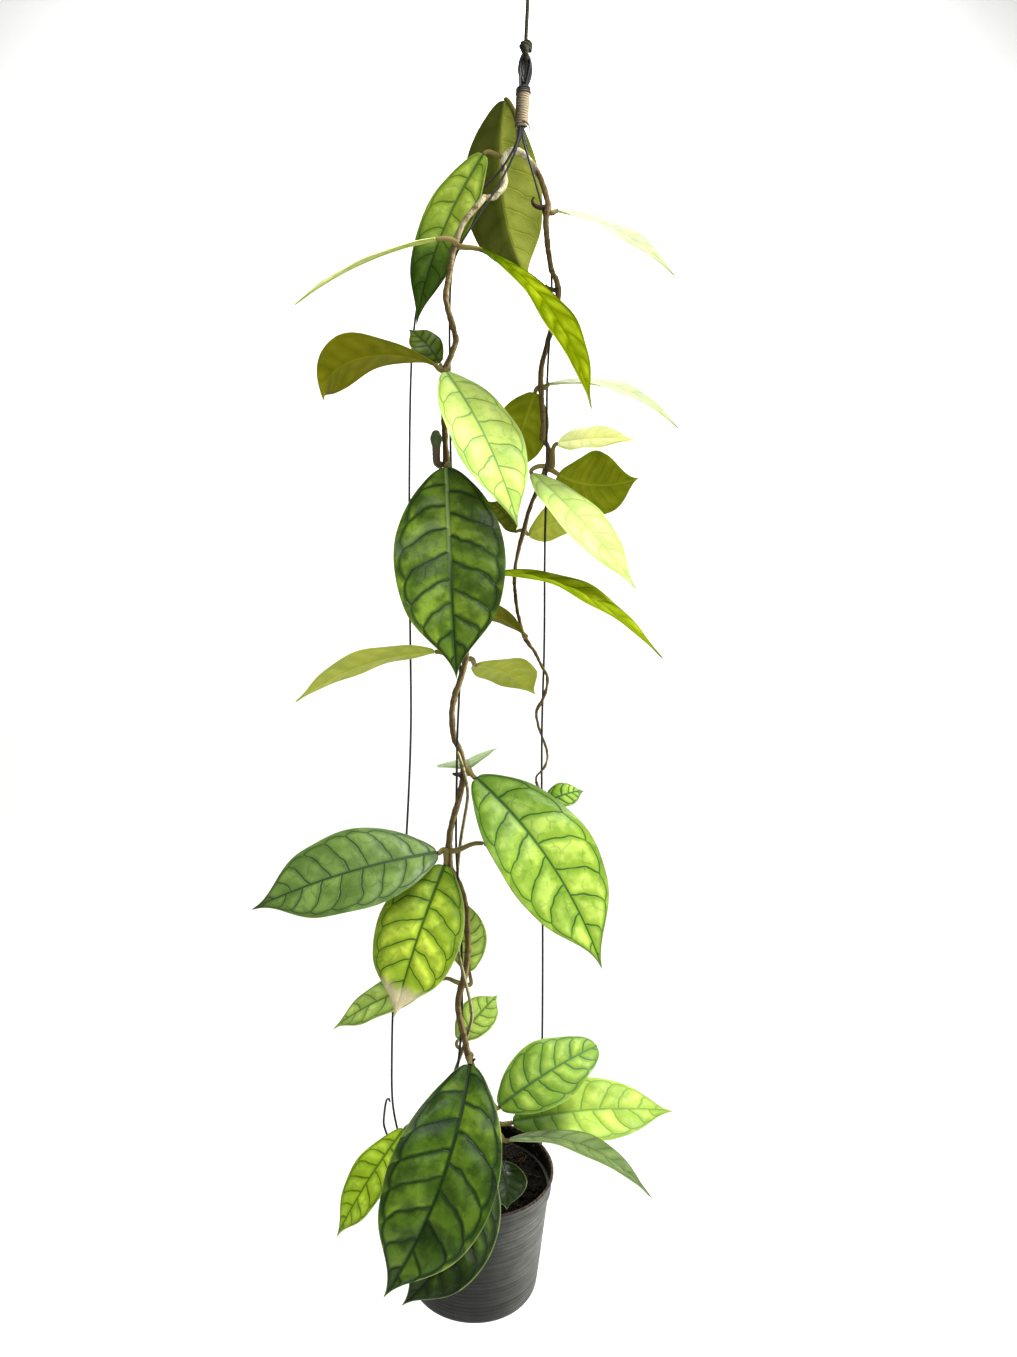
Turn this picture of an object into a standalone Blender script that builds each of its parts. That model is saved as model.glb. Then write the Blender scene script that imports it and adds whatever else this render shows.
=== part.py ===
"""A hoya callistophylla in a black nursery pot that hangs from three wires.

One long vine climbs the front wire from the pot to the gathered top of the hanger, crosses over
and trails down the right-hand wire. Its thick leaves stand on short stalks at the vine's nodes.

Sizes are in millimetres. The frame has +X to the right, +Y away from the viewer and +Z up. Its
origin is the top of the loop that the whole plant hangs from.
"""
import math
from dataclasses import dataclass

import bmesh
import bpy
import numpy as np
from mathutils import Matrix, Vector, noise

# Driving dimensions
MM = 0.001
CLEAR = 0.35                      # gap between touching pieces

RIM_CENTRE = Vector((-35, 0, -838))
POT_LEAN = math.radians(12.5)     # the mouth tips towards the viewer
POT_ROLL = math.radians(-2.5)     # and its foot swings a little to the left
RIM_RADIUS = 53.0
BASE_RADIUS = 45.4
POT_HEIGHT = 91.0
POT_WALL = 1.2
BAND_DEPTH = 14.0                 # the stiff band under the rim
POT_SIDES = 24
DRAIN_RADIUS = 4.0
DRAIN_RING = 30.0
MIX_EDGE = -13.0                  # potting mix below the rim, at the wall
MIX_CROWN = 6.0                   # and how much higher it is heaped in the middle

WIRE_RADIUS = 0.8
WIRE_HOLE = 1.3
HOLE_DROP = 9.2                   # wire holes below the rim
WIRE_BEARINGS = {"wire_front": 240, "wire_left": 172, "wire_right": 34}
CORD_RADIUS = 1.0
VINE_RADIUS = 2.1
NODE_SWELL = 0.75                 # how much thicker the vine is where leaves leave it
STRAIGHT_FOOT = 24                # the lowest steps of a stem stand straight in the mix
TIP_RADIUS = 0.55
STRAND_RADIUS = 1.15
STALK_RADIUS = 1.6
BLADE_THICKNESS = 1.15
MARGIN_THICKNESS = 0.75


def clear_scene():
    for ob in list(bpy.data.objects):
        bpy.data.objects.remove(ob, do_unlink=True)


def material(name, colour, roughness, metallic=0.0):
    mat = bpy.data.materials.get(name) or bpy.data.materials.new(name)
    mat.use_nodes = True
    shader = mat.node_tree.nodes["Principled BSDF"]
    shader.inputs["Base Color"].default_value = (*colour, 1)
    shader.inputs["Roughness"].default_value = roughness
    shader.inputs["Metallic"].default_value = metallic
    return mat


def add_object(name, mesh, mat, place=Matrix.Identity(4)):
    mesh.materials.append(mat)
    mesh.shade_smooth()
    mesh.set_sharp_from_angle(angle=math.radians(40))
    ob = bpy.data.objects.new(name, mesh)
    ob.matrix_world = place
    bpy.context.scene.collection.objects.link(ob)
    return ob


def closed_mesh(name, points, faces):
    """A mesh from points in millimetres, with its faces turned outwards."""
    bm = bmesh.new()
    verts = [bm.verts.new(Vector(p) * MM) for p in points]
    for face in faces:
        bm.faces.new([verts[i] for i in face])
    return outward_mesh(name, bm)


def outward_mesh(name, bm):
    bmesh.ops.recalc_face_normals(bm, faces=bm.faces)
    if bm.calc_volume(signed=True) < 0:
        bmesh.ops.reverse_faces(bm, faces=bm.faces)
    mesh = bpy.data.meshes.new(name)
    bm.to_mesh(mesh)
    bm.free()
    return mesh


# Paths and tubes

def smooth_path(points, passes=30):
    """Hand-placed points joined in even 1 mm steps, with the corners rounded off."""
    points = np.array(points, float)
    lengths = np.linalg.norm(np.diff(points, axis=0), axis=1)
    along = np.concatenate(([0], np.cumsum(lengths)))
    steps = np.linspace(0, along[-1], max(2, int(along[-1])))
    path = np.stack([np.interp(steps, along, points[:, axis]) for axis in range(3)], axis=1)
    for _ in range(passes):
        path[1:-1] = 0.25 * path[:-2] + 0.5 * path[1:-1] + 0.25 * path[2:]
    return path


def keep_off(path, obstacles, rounds=12):
    """Moves a path aside wherever it comes too near an obstacle: (points, distance to keep)."""
    for _ in range(rounds):
        path[1:-1] = 0.25 * path[:-2] + 0.5 * path[1:-1] + 0.25 * path[2:]
        for points, distance in obstacles:
            for i, point in enumerate(path):
                away = point - points
                near = np.linalg.norm(away, axis=1)
                closest = near.argmin()
                if near[closest] < distance:
                    path[i] = points[closest] + away[closest] / max(near[closest], 0.01) * distance
    path[1:-1] = 0.25 * path[:-2] + 0.5 * path[1:-1] + 0.25 * path[2:]
    return path


def thin_out(path, longest, bend=13.0, rings=()):
    """The steps of a path that carry its rings: the given ones, the bends, and one every longest."""
    fixed = [0] + sorted(rings) + [len(path) - 1]
    kept = []
    for start, end in zip(fixed[:-1], fixed[1:]):
        kept.append(start)
        for i in range(start + 1, end - 2):
            run = i - kept[-1]
            before = Vector(path[kept[-1] + 1] - path[kept[-1]])
            turned_by = math.degrees(before.angle(Vector(path[i + 1] - path[i])))
            if run >= longest or (turned_by > bend and run >= 3):
                kept.append(i)
    return kept + [len(path) - 1]


def ring_frames(path):
    """A side and a normal for each point of a path, carried along it without twisting."""
    tangents = [Vector(path[min(i + 1, len(path) - 1)] - path[max(i - 1, 0)]).normalized()
                for i in range(len(path))]
    side = tangents[0].orthogonal().normalized()
    frames = []
    for tangent in tangents:
        side = (side - tangent * side.dot(tangent)).normalized()
        frames.append((side, tangent.cross(side)))
    return frames


def tube(name, path, radius, sides, longest=12, rings=()):
    """A closed tube along a path. radius is a number or a function of the step number."""
    kept = thin_out(path, longest, rings=rings)
    line = path[kept]
    points = []
    for step, centre, (side, up) in zip(kept, line, ring_frames(line)):
        size = radius(step) if callable(radius) else radius
        for k in range(sides):
            turn = 2 * math.pi * k / sides
            points.append(Vector(centre) + (side * math.cos(turn) + up * math.sin(turn)) * size)
    faces = [tuple(range(sides)), tuple(range(len(points) - sides, len(points)))]
    for row in range(len(kept) - 1):
        for k in range(sides):
            a = row * sides + k
            b = row * sides + (k + 1) % sides
            faces.append((a, b, b + sides, a + sides))
    return closed_mesh(name, points, faces)


def turned(name, profile, sides):
    """A solid turned about Z from a closed outline of (radius, height) points."""
    bm = bmesh.new()
    loop = [bm.verts.new((r * MM, 0, z * MM)) for r, z in profile]
    edges = [bm.edges.new((loop[i], loop[(i + 1) % len(loop)])) for i in range(len(loop))]
    axis = [edge for edge in edges if all(v.co.x < 1e-7 for v in edge.verts)]
    for edge in axis:
        bm.edges.remove(edge)
    edges = [edge for edge in edges if edge.is_valid]
    bmesh.ops.spin(bm, geom=loop + edges, cent=(0, 0, 0), axis=(0, 0, 1), angle=2 * math.pi,
                   steps=sides, use_merge=True)
    bmesh.ops.remove_doubles(bm, verts=bm.verts, dist=0.00001)
    return outward_mesh(name, bm)


def combine(ob, cutters, operation):
    """Cuts cutters from an object, or joins them to it, with one applied Boolean."""
    group = bpy.data.collections.new(ob.name + "_tools")
    for cutter in cutters:
        group.objects.link(cutter)
    step = ob.modifiers.new("combine", "BOOLEAN")
    step.operation = operation
    step.operand_type = "COLLECTION"
    step.collection = group
    step.solver = "EXACT"
    result = bpy.data.meshes.new_from_object(ob.evaluated_get(bpy.context.evaluated_depsgraph_get()))
    ob.modifiers.clear()
    ob.data = result
    for cutter in cutters:
        bpy.data.objects.remove(cutter, do_unlink=True)
    bpy.data.collections.remove(group)


def rod(name, start, end, radius, sides=12):
    """A straight cutter or stub between two points."""
    line = np.array([start, end], float)
    return add_object(name, tube(name, line, radius, sides), material("cutter", (0.5, 0.5, 0.5), 0.5))


# The pot and what fills it

POT_FRAME = (Matrix.Translation(RIM_CENTRE) @ Matrix.Rotation(-POT_ROLL, 4, "Y")
             @ Matrix.Rotation(POT_LEAN, 4, "X"))
POT_PLACE = Matrix.Translation(RIM_CENTRE * MM) @ POT_FRAME.to_3x3().to_4x4()


def in_pot(degrees, radius, height):
    """A point in the part's frame, given by its bearing, radius and height in the pot."""
    turn = math.radians(degrees)
    return POT_FRAME @ Vector((radius * math.cos(turn), radius * math.sin(turn), height))


def inner_wall(height):
    """The radius of the pot's inside below the band."""
    drop = (-height - BAND_DEPTH) / (POT_HEIGHT - BAND_DEPTH - 5)
    return RIM_RADIUS - 3.8 + (BASE_RADIUS - RIM_RADIUS + 2.6) * drop


def build_pot():
    step = -BAND_DEPTH
    shoulder = RIM_RADIUS - 2.6
    floor = -POT_HEIGHT + POT_WALL + 0.4
    profile = [
        (RIM_RADIUS - 1.6, 0), (RIM_RADIUS, -0.5), (RIM_RADIUS, -2), (RIM_RADIUS - 0.9, -3),
        (RIM_RADIUS - 1.1, step + 1), (shoulder, step),
        (BASE_RADIUS, -POT_HEIGHT + 5.5), (BASE_RADIUS - 1.2, -POT_HEIGHT + 2),
        (BASE_RADIUS - 4, -POT_HEIGHT), (0, -POT_HEIGHT), (0, floor), (BASE_RADIUS - 4, floor),
        (inner_wall(-POT_HEIGHT + 5), -POT_HEIGHT + 5), (inner_wall(step), step - 0.4),
        (RIM_RADIUS - 1.1 - POT_WALL, step + 1), (RIM_RADIUS - 2.2, -0.6),
    ]
    black = material("pot_black", (0.035, 0.036, 0.04), 0.5)
    pot = add_object("pot", turned("pot", profile, POT_SIDES), black)
    cutters = []
    for i in range(6):
        turn = math.radians(60 * i + 30)
        x, y = DRAIN_RING * math.cos(turn), DRAIN_RING * math.sin(turn)
        cutters.append(rod("drain", (x, y, -POT_HEIGHT - 3), (x, y, floor + 3), DRAIN_RADIUS, 10))
    for degrees in WIRE_BEARINGS.values():
        turn = math.radians(degrees)
        ray = Vector((math.cos(turn), math.sin(turn), 0))
        level = Vector((0, 0, -HOLE_DROP))
        inside, outside = ray * (RIM_RADIUS - 6) + level, ray * (RIM_RADIUS + 4) + level
        cutters.append(rod("wire_hole", inside, outside, WIRE_HOLE, 8))
    combine(pot, cutters, "DIFFERENCE")
    pot.matrix_world = POT_PLACE


def mix_surface(x, y):
    """How high the potting mix stands at a place in the pot, with its lumps."""
    near_wall = math.hypot(x, y) / inner_wall(MIX_EDGE)
    lumps = 1.6 * noise.noise(Vector((x, y, 3.0)) * 0.11) + 0.9 * noise.noise(Vector((x, y, 9.0)) * 0.3)
    return MIX_EDGE + MIX_CROWN * (1 - near_wall ** 2) + lumps * (1 - near_wall ** 4)


def build_mix(stems):
    """The mix fills the pot to its wall. Each stem stands in a plain hole in it."""
    floor = -POT_HEIGHT + POT_WALL + 0.4 + CLEAR
    wall = inner_wall(-POT_HEIGHT + 5) - CLEAR
    mouth = inner_wall(MIX_EDGE - 1.5) - CLEAR - 0.4
    profile = [(0, floor), (BASE_RADIUS - 4 - CLEAR, floor), (wall, -POT_HEIGHT + 5), (mouth, MIX_EDGE - 1.5)]
    rings = 5
    profile += [(mouth * (1 - i / rings), MIX_EDGE) for i in range(rings + 1)]
    mesh = turned("potting_mix", profile, POT_SIDES)
    for vert in mesh.vertices:
        if vert.co.z > (MIX_EDGE - 1) * MM:
            vert.co.z = mix_surface(vert.co.x / MM, vert.co.y / MM) * MM
    mix = add_object("potting_mix", mesh, material("potting_mix", (0.03, 0.022, 0.016), 0.95))
    to_pot = POT_FRAME.inverted()
    cutters = []
    for path, radius in stems:
        foot = to_pot @ Vector(path[0])
        rise = (to_pot @ Vector(path[8]) - foot).normalized()
        cutters.append(rod("stem_hole", foot - rise * CLEAR, foot + rise * 40, radius + CLEAR, 10))
    combine(mix, cutters, "DIFFERENCE")
    mix.matrix_world = POT_PLACE


# The hanger: three wires gathered in an eye, bound with cord and hung from a cord

EYE_TOP = -60.0
EYE_MIDDLE = -1.6
EYE_HALF_WIDTH = 4.1
BIND_X = -3.9
BIND_TOP = -84.5
BIND_FOOT = -112.0
UPPER_KNOT = -16.5
LOWER_KNOT = -55.5
KNOT_RADIUS = 3.0
STRAND_GAP = 2 * WIRE_RADIUS + CLEAR
WIRE_STEP = 40                    # the longest straight piece of a wire


def wire_routes():
    """Each wire's own points: from its end in the binding, over the eye and down to the pot."""
    falls = {
        "wire_front": [(-5, 0, -119), (-8, -1, -128), (-15, -1, -145), (-32, -1, -171), (-50, -1, -196),
                       (-55, -2, -216), (-55, -4, -255), (-54, -7, -304), (-54, -11, -351),
                       (-50, -16, -416), (-45, -20, -483), (-49, -23, -526), (-48, -26, -560),
                       (-50, -29, -613), (-44, -33, -666), (-45, -36, -701), (-44, -38, -731),
                       (-46, -40, -757), (-55, -44, -796)],
        "wire_left": [(-6, 2, -118), (-12, 3, -130), (-20, 6, -141), (-40, 11, -155), (-62, 14, -179),
                      (-76, 15, -210), (-83, 16, -255), (-84, 15, -300), (-84, 9, -370), (-83, 5, -468),
                      (-82, 6, -527), (-85, 6, -604), (-96, 7, -732), (-96, 7, -768), (-97, 7, -800)],
        "wire_right": [(-5, -2, -118), (-3, -2, -126), (1, -1, -137), (5, 0, -147), (13, 2, -172),
                       (18, 3, -207), (18, 4, -228), (16, 5, -253), (12, 6, -292), (14, 8, -329),
                       (14, 9, -348), (12, 10, -381), (12, 12, -427), (12, 14, -481), (10, 17, -527),
                       (10, 18, -572), (11, 22, -657), (11, 26, -752), (10, 28, -800)],
    }
    stack = {"wire_right": -STRAND_GAP, "wire_front": 0.0, "wire_left": STRAND_GAP}
    routes = {}
    for name, fall in falls.items():
        y = stack[name]
        lean = y * 0.25
        left, right = EYE_MIDDLE - EYE_HALF_WIDTH, EYE_MIDDLE + EYE_HALF_WIDTH
        eye = [(BIND_X + 1, y, BIND_FOOT + 12), (BIND_X + 1, y, BIND_TOP - 1), (right - 0.9 + lean, y, -77),
               (right + lean, y, -68), (right - 1.3, y, EYE_TOP - 2.6), (EYE_MIDDLE, y, EYE_TOP - 0.8),
               (left + 1.3, y, EYE_TOP - 2.6), (left + lean, y, -68), (left + 0.2 + lean, y, -77),
               (BIND_X - 1, y, BIND_TOP - 1), (BIND_X - 1, y, BIND_FOOT + 12)]
        bound = (BIND_X - 1, y, BIND_FOOT + 1)
        degrees = WIRE_BEARINGS[name]
        hook = [in_pot(degrees, RIM_RADIUS + reach, height) for reach, height in
                ((2.8, 14), (1.8, 1), (1.7, -6.5), (0.4, -HOLE_DROP), (-3.0, -HOLE_DROP),
                 (-5.2, -8), (-5.6, -1))]
        if name == "wire_left":
            hook += [in_pot(degrees + turn, RIM_RADIUS + reach, height) for turn, reach, height in
                     ((2, -4.5, 3), (4.5, -1, 4.5), (5, 4, 8), (4, 11, 14), (2, 15, 24), (2, 15, 36),
                      (2, 13.5, 43), (2, 11.5, 46), (2, 10.6, 42))]
        routes[name] = (eye, bound, fall, hook)
    return routes


def build_wires():
    """Three wires, each a rod bent into its share of the eye. Returns their centre lines."""
    lines = {}
    steel = material("wire_black", (0.03, 0.033, 0.03), 0.42, 0.6)
    for name, (eye, bound, fall, hook) in wire_routes().items():
        upper = smooth_path(eye + [bound], passes=6)
        lower = smooth_path([bound] + fall + hook[:2], passes=24)
        tail = smooth_path(hook[1:], passes=2)
        lines[name] = np.concatenate((upper[:-1], lower[:-1], tail))
    for name, line in lines.items():
        add_object(name, tube(name, line, WIRE_RADIUS, 6, longest=WIRE_STEP), steel)
        lines[name] = smooth_path(line[thin_out(line, WIRE_STEP)], passes=0)
    return lines


def build_binding():
    """The cord wound round the gathered wires, as a ribbed sleeve that narrows downwards."""
    turns = 9
    pitch = (BIND_TOP - BIND_FOOT) / turns
    outer = []
    for i in range(turns):
        top = BIND_TOP - i * pitch
        radius = 5.0 - 0.9 * i / (turns - 1)
        outer += [(radius - 0.35, top), (radius + 0.1, top - pitch / 2)]
    outer.append((4.0, BIND_FOOT))
    profile = outer + [(3.4, BIND_FOOT), (3.75, BIND_TOP)]
    place = Matrix.Translation((BIND_X * MM, 0, 0))
    tan = material("cord_tan", (0.42, 0.33, 0.2), 0.85)
    add_object("binding", turned("binding", profile, 12), tan, place)


def build_cord(wires):
    """The cord that carries the plant: a loop at the top, a straight drop and a knot round the eye."""
    olive = material("cord_olive", (0.13, 0.14, 0.08), 0.85)
    drop = bpy.data.curves.new("hanging_cord", "CURVE")
    drop.dimensions = "3D"
    drop.bevel_depth = CORD_RADIUS * MM
    drop.bevel_resolution = 2
    drop.use_fill_caps = True
    spline = drop.splines.new("POLY")
    top = Vector((0, 0, UPPER_KNOT - KNOT_RADIUS - CLEAR))
    foot = Vector((EYE_MIDDLE, 0, LOWER_KNOT + KNOT_RADIUS + CLEAR))
    count = 12
    spline.points.add(count - 1)
    for i in range(count):
        spline.points[i].co = (*(top.lerp(foot, i / (count - 1)) * MM), 1)
    drop.materials.append(olive)
    bpy.context.scene.collection.objects.link(bpy.data.objects.new("hanging_cord", drop))

    eye = []
    for i in range(15):
        turn = math.radians(20 + 320 * i / 14)
        eye.append((5.0 * math.sin(turn) * (0.5 + 0.5 * math.sin(turn / 2)), 0, -7.03 - 6.4 * math.cos(turn)))
    eye = [(0.9, 0, UPPER_KNOT)] + eye + [(-0.9, 0, UPPER_KNOT)]
    loop_mesh = tube("cord_loop", smooth_path(eye, passes=2), CORD_RADIUS, 6, longest=4)
    loop = add_object("cord_loop", loop_mesh, olive)
    combine(loop, knot_turns((0, 0, UPPER_KNOT)), "UNION")

    arches = []
    for line in wires:
        over = (abs(line[:, 0] - EYE_MIDDLE) < 1.6) & (line[:, 2] > BIND_TOP + 10)
        arches.append(line[over, 2].min())
    under = min(arches) - WIRE_RADIUS - CLEAR - CORD_RADIUS - 0.3
    depth = STRAND_GAP + WIRE_RADIUS + CLEAR + CORD_RADIUS + 0.2
    half_strap = [(-1, LOWER_KNOT), (-depth, LOWER_KNOT - 2.5), (-depth, under + 1.6), (-depth + 1.6, under)]
    strap = [(EYE_MIDDLE, y, z) for y, z in half_strap] + [(EYE_MIDDLE, -y, z) for y, z in half_strap[::-1]]
    knot_mesh = tube("cord_knot", smooth_path(strap, passes=1), CORD_RADIUS, 6, longest=4)
    knot = add_object("cord_knot", knot_mesh, olive)
    combine(knot, knot_turns((EYE_MIDDLE, 0, LOWER_KNOT)), "UNION")


def knot_turns(centre):
    """Three turns of cord drawn tight round a core: a simple knot."""
    turns = []
    ring = KNOT_RADIUS - CORD_RADIUS
    for tilt, height in ((18, 0.8), (-22, -0.8), (62, 0.1)):
        bpy.ops.mesh.primitive_torus_add(
            major_segments=8, minor_segments=6, major_radius=ring * MM, minor_radius=CORD_RADIUS * MM,
            location=(centre[0] * MM, centre[1] * MM, (centre[2] + height) * MM),
            rotation=(math.radians(tilt * 0.6), math.radians(tilt), 0))
        turns.append(bpy.context.object)
    bpy.ops.mesh.primitive_uv_sphere_add(segments=8, ring_count=5, radius=(KNOT_RADIUS - 0.4) * MM,
                                         location=[c * MM for c in centre])
    turns.append(bpy.context.object)
    return turns


# The stems

# Where leaves and side shoots leave the stems: right, away, up
NODES = {
    "crown_left": (-18, 9, -128), "crown": (-8, 9, -123), "shoulder": (-52, -3, -195),
    "upper": (-57, -6, -284), "middle": (-55, -14, -351), "behind": (-47, -13, -430),
    "lower": (-43, -22, -483), "waist": (-45, -28, -560), "pair": (-53, -31, -613),
    "bend": (-43, -38, -701), "foot": (-40, -43, -748), "low": (-29, -36, -782), "base": (-24, -30, -801),
    "soil": (-27, -26, -815), "side": (-69, -10, -806),
    "trail_top": (12, -1, -172), "trail_buds": (20, 4, -225), "trail_upper": (9, 3, -292),
    "trail_middle": (14, 12, -348), "trail_knee": (-3, 11, -393), "trail_low": (-3, 13, -468),
    "trail_end": (9, 19, -574),
}


def vine_points():
    """The vine from its root in the mix, up the front wire, over the top and down the right wire."""
    foot = in_pot(0, 0, 0) + Vector((8, -28, -16))
    rise = (POT_FRAME.to_3x3() @ Vector((0, 0, 1))) * 20
    return [
        foot, foot + rise, (-25, -31, -803), (-29, -36, -782), (-36, -43, -757), (-40, -44, -748),
        (-43, -42, -734), (-46, -42, -724), (-48, -40, -711), (-44, -40, -700), (-41, -36, -683),
        (-41, -31, -659), (-47, -28, -636), (-54, -31, -613), (-53, -32, -598), (-48, -31, -582),
        (-43, -28, -562), (-46, -22, -548), (-52, -20, -536), (-52, -22, -523), (-47, -24, -502),
        (-43, -22, -483), (-44, -15, -443), (-48, -13, -416), (-52, -14, -382), (-56, -14, -351),
        (-58, -12, -326), (-58, -8, -301), (-58, -8, -284), (-53, -12, -274), (-49, -9, -263),
        (-54, -11, -248), (-58, -8, -234), (-54, -6, -213), (-52, -5, -198), (-46, -6, -181),
        (-37, -5, -170), (-30, -3, -164), (-21, 3, -157), (-15, 8, -149), (-18, 9, -136), (-17, 9, -127),
        (-13, 9, -123), (-8, 9, -122), (-1, 9, -127), (9, 6, -143), (14, 3, -161), (12, -1, -173),
        (13, -2, -191), (16, 0, -211), (21, 4, -225), (18, 8, -244), (13, 9, -265), (9, 5, -284),
        (9, 3, -293), (11, 4, -321), (15, 11, -335), (14, 12, -348), (7, 10, -364), (2, 10, -373),
        (-3, 11, -393), (-8, 12, -411), (-10, 13, -427), (-8, 13, -447), (-3, 13, -468), (7, 13, -481),
        (15, 12, -498), (10, 14, -515), (7, 18, -525), (9, 21, -536), (13, 21, -545), (14, 17, -552),
        (12, 15, -561), (7, 17, -567), (9, 21, -576),
    ]


def strand_points():
    """The younger strand: out of the mix on the left, then up round the vine and the front wire."""
    foot = in_pot(0, 0, 0) + Vector((-24, -12, -14))
    rise = (POT_FRAME.to_3x3() @ Vector((0, 0, 1))) * 20
    return [
        foot, foot + rise, (-69, -10, -806), (-61, -20, -787), (-52, -33, -768), (-48, -35, -756),
        (-42, -34, -739), (-37, -39, -722), (-40, -47, -704), (-45, -46, -686), (-50, -38, -664),
        (-49, -25, -640), (-48, -22, -623), (-46, -25, -606), (-43, -33, -590), (-40, -34, -574),
        (-44, -36, -556), (-48, -34, -546),
    ]


def build_vine(wires):
    """The vine is one grown piece: round, swollen at its nodes, thin at its trailing tip."""
    path = smooth_path(vine_points(), passes=14)
    keep_off(path[STRAIGHT_FOOT:], [(wires, WIRE_RADIUS + VINE_RADIUS + NODE_SWELL + 2 * CLEAR)])
    top = int(np.argmax(path[:, 2]))
    end = len(path)
    joints = {}
    for name, place in NODES.items():
        steps = range(top, end) if name.startswith("trail") else range(0, top + 12)
        joints[name] = min(steps, key=lambda i: np.linalg.norm(path[i] - np.array(place)))
    own = [joints[name] for name in NODES if name != "side"]

    def radius(step):
        trail = max(0, step - top) / (end - top)
        plain = VINE_RADIUS + (TIP_RADIUS - VINE_RADIUS) * trail ** 1.6
        swell = max(math.exp(-((step - joint) / 3.5) ** 2) for joint in own)
        return plain + NODE_SWELL * swell * min(1, 4 * (1 - trail))

    extra = []
    for step in sorted(step + offset for step in own for offset in (-4, 0, 4)):
        if 3 < step < end - 4 and (not extra or step - extra[-1] >= 3):
            extra.append(step)
    bark = material("stem_bark", (0.3, 0.23, 0.13), 0.75)
    add_object("vine", tube("vine", path, radius, 6, longest=9, rings=extra), bark)
    return path, radius, joints


def build_strand(wires, vine):
    path = smooth_path(strand_points(), passes=14)
    keep_off(path[STRAIGHT_FOOT:], [(wires, WIRE_RADIUS + STRAND_RADIUS + 3 * CLEAR),
                                    (vine, VINE_RADIUS + NODE_SWELL + STRAND_RADIUS + 3 * CLEAR)])
    green = material("stem_young", (0.33, 0.32, 0.15), 0.6)
    add_object("strand", tube("strand", path, STRAND_RADIUS, 6, longest=8), green)
    return path


def sideways(direction, path, step):
    """The part of a direction that stands square to a stem."""
    along = Vector(path[min(step + 4, len(path) - 1)] - path[step - 4]).normalized()
    return (direction - along * direction.dot(along)).normalized()


def build_spur(vine, radius, joints):
    """The stub of an old flower stalk, with its round green head."""
    step = joints["middle"]
    root = Vector(vine[step])
    side = sideways(Vector((-1, -0.2, 0)), vine, step)
    start = root + side * (radius(step) + CLEAR)
    path = smooth_path([start, start + side * 4, start + Vector((-3.5, -5, 9)), start + Vector((-3.5, -5, 16)),
                        start + Vector((-4, -5, 22))], passes=6)
    count = len(path)

    def thickness(step):
        part = step / (count - 1)
        head = math.exp(-((part - 0.86) / 0.13) ** 2)
        return 2.0 + 2.7 * head - 1.2 * max(0, part - 0.93) / 0.07

    bark = material("stem_bark", (0.3, 0.23, 0.13), 0.75)
    add_object("flower_spur", tube("flower_spur", path, thickness, 8, longest=3), bark)


# The leaves

@dataclass
class Leaf:
    name: str
    node: str
    stalk: tuple         # from the stem's centre to the foot of the blade
    reach: tuple         # from the foot of the blade to its tip
    width: float
    face: tuple          # where the upper side looks
    tone: str
    arch: float = 8      # how far the middle stands off the straight line, on the upper side
    sway: float = 0      # the same, to the side
    early: float = 0     # above 0, the arch is highest nearer the stalk
    hook: float = 0      # how much further out the blade bends before it drops
    side: tuple = ()     # the side of the stem that the stalk starts from, where it isn't the nearest
    widest: float = 0.46 # where along the blade it is widest
    fold: float = 10     # how many degrees each half rises from the midrib
    cup: float = 0.08    # how far the margins curl under, for each unit of half width
    twist: float = 0     # degrees from the stalk to the tip
    blunt: float = 0     # 0 for a drawn-out tip, 1 for a round one
    quilt: float = 0.9   # how high the panels between the side veins swell
    across: int = 4
    rows: int = 8


TONES = {
    "leaf_dark": (0.05, 0.13, 0.02), "leaf_green": (0.13, 0.27, 0.03), "leaf_bright": (0.3, 0.5, 0.06),
    "leaf_pale": (0.5, 0.66, 0.15), "leaf_olive": (0.2, 0.22, 0.04),
}

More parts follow.
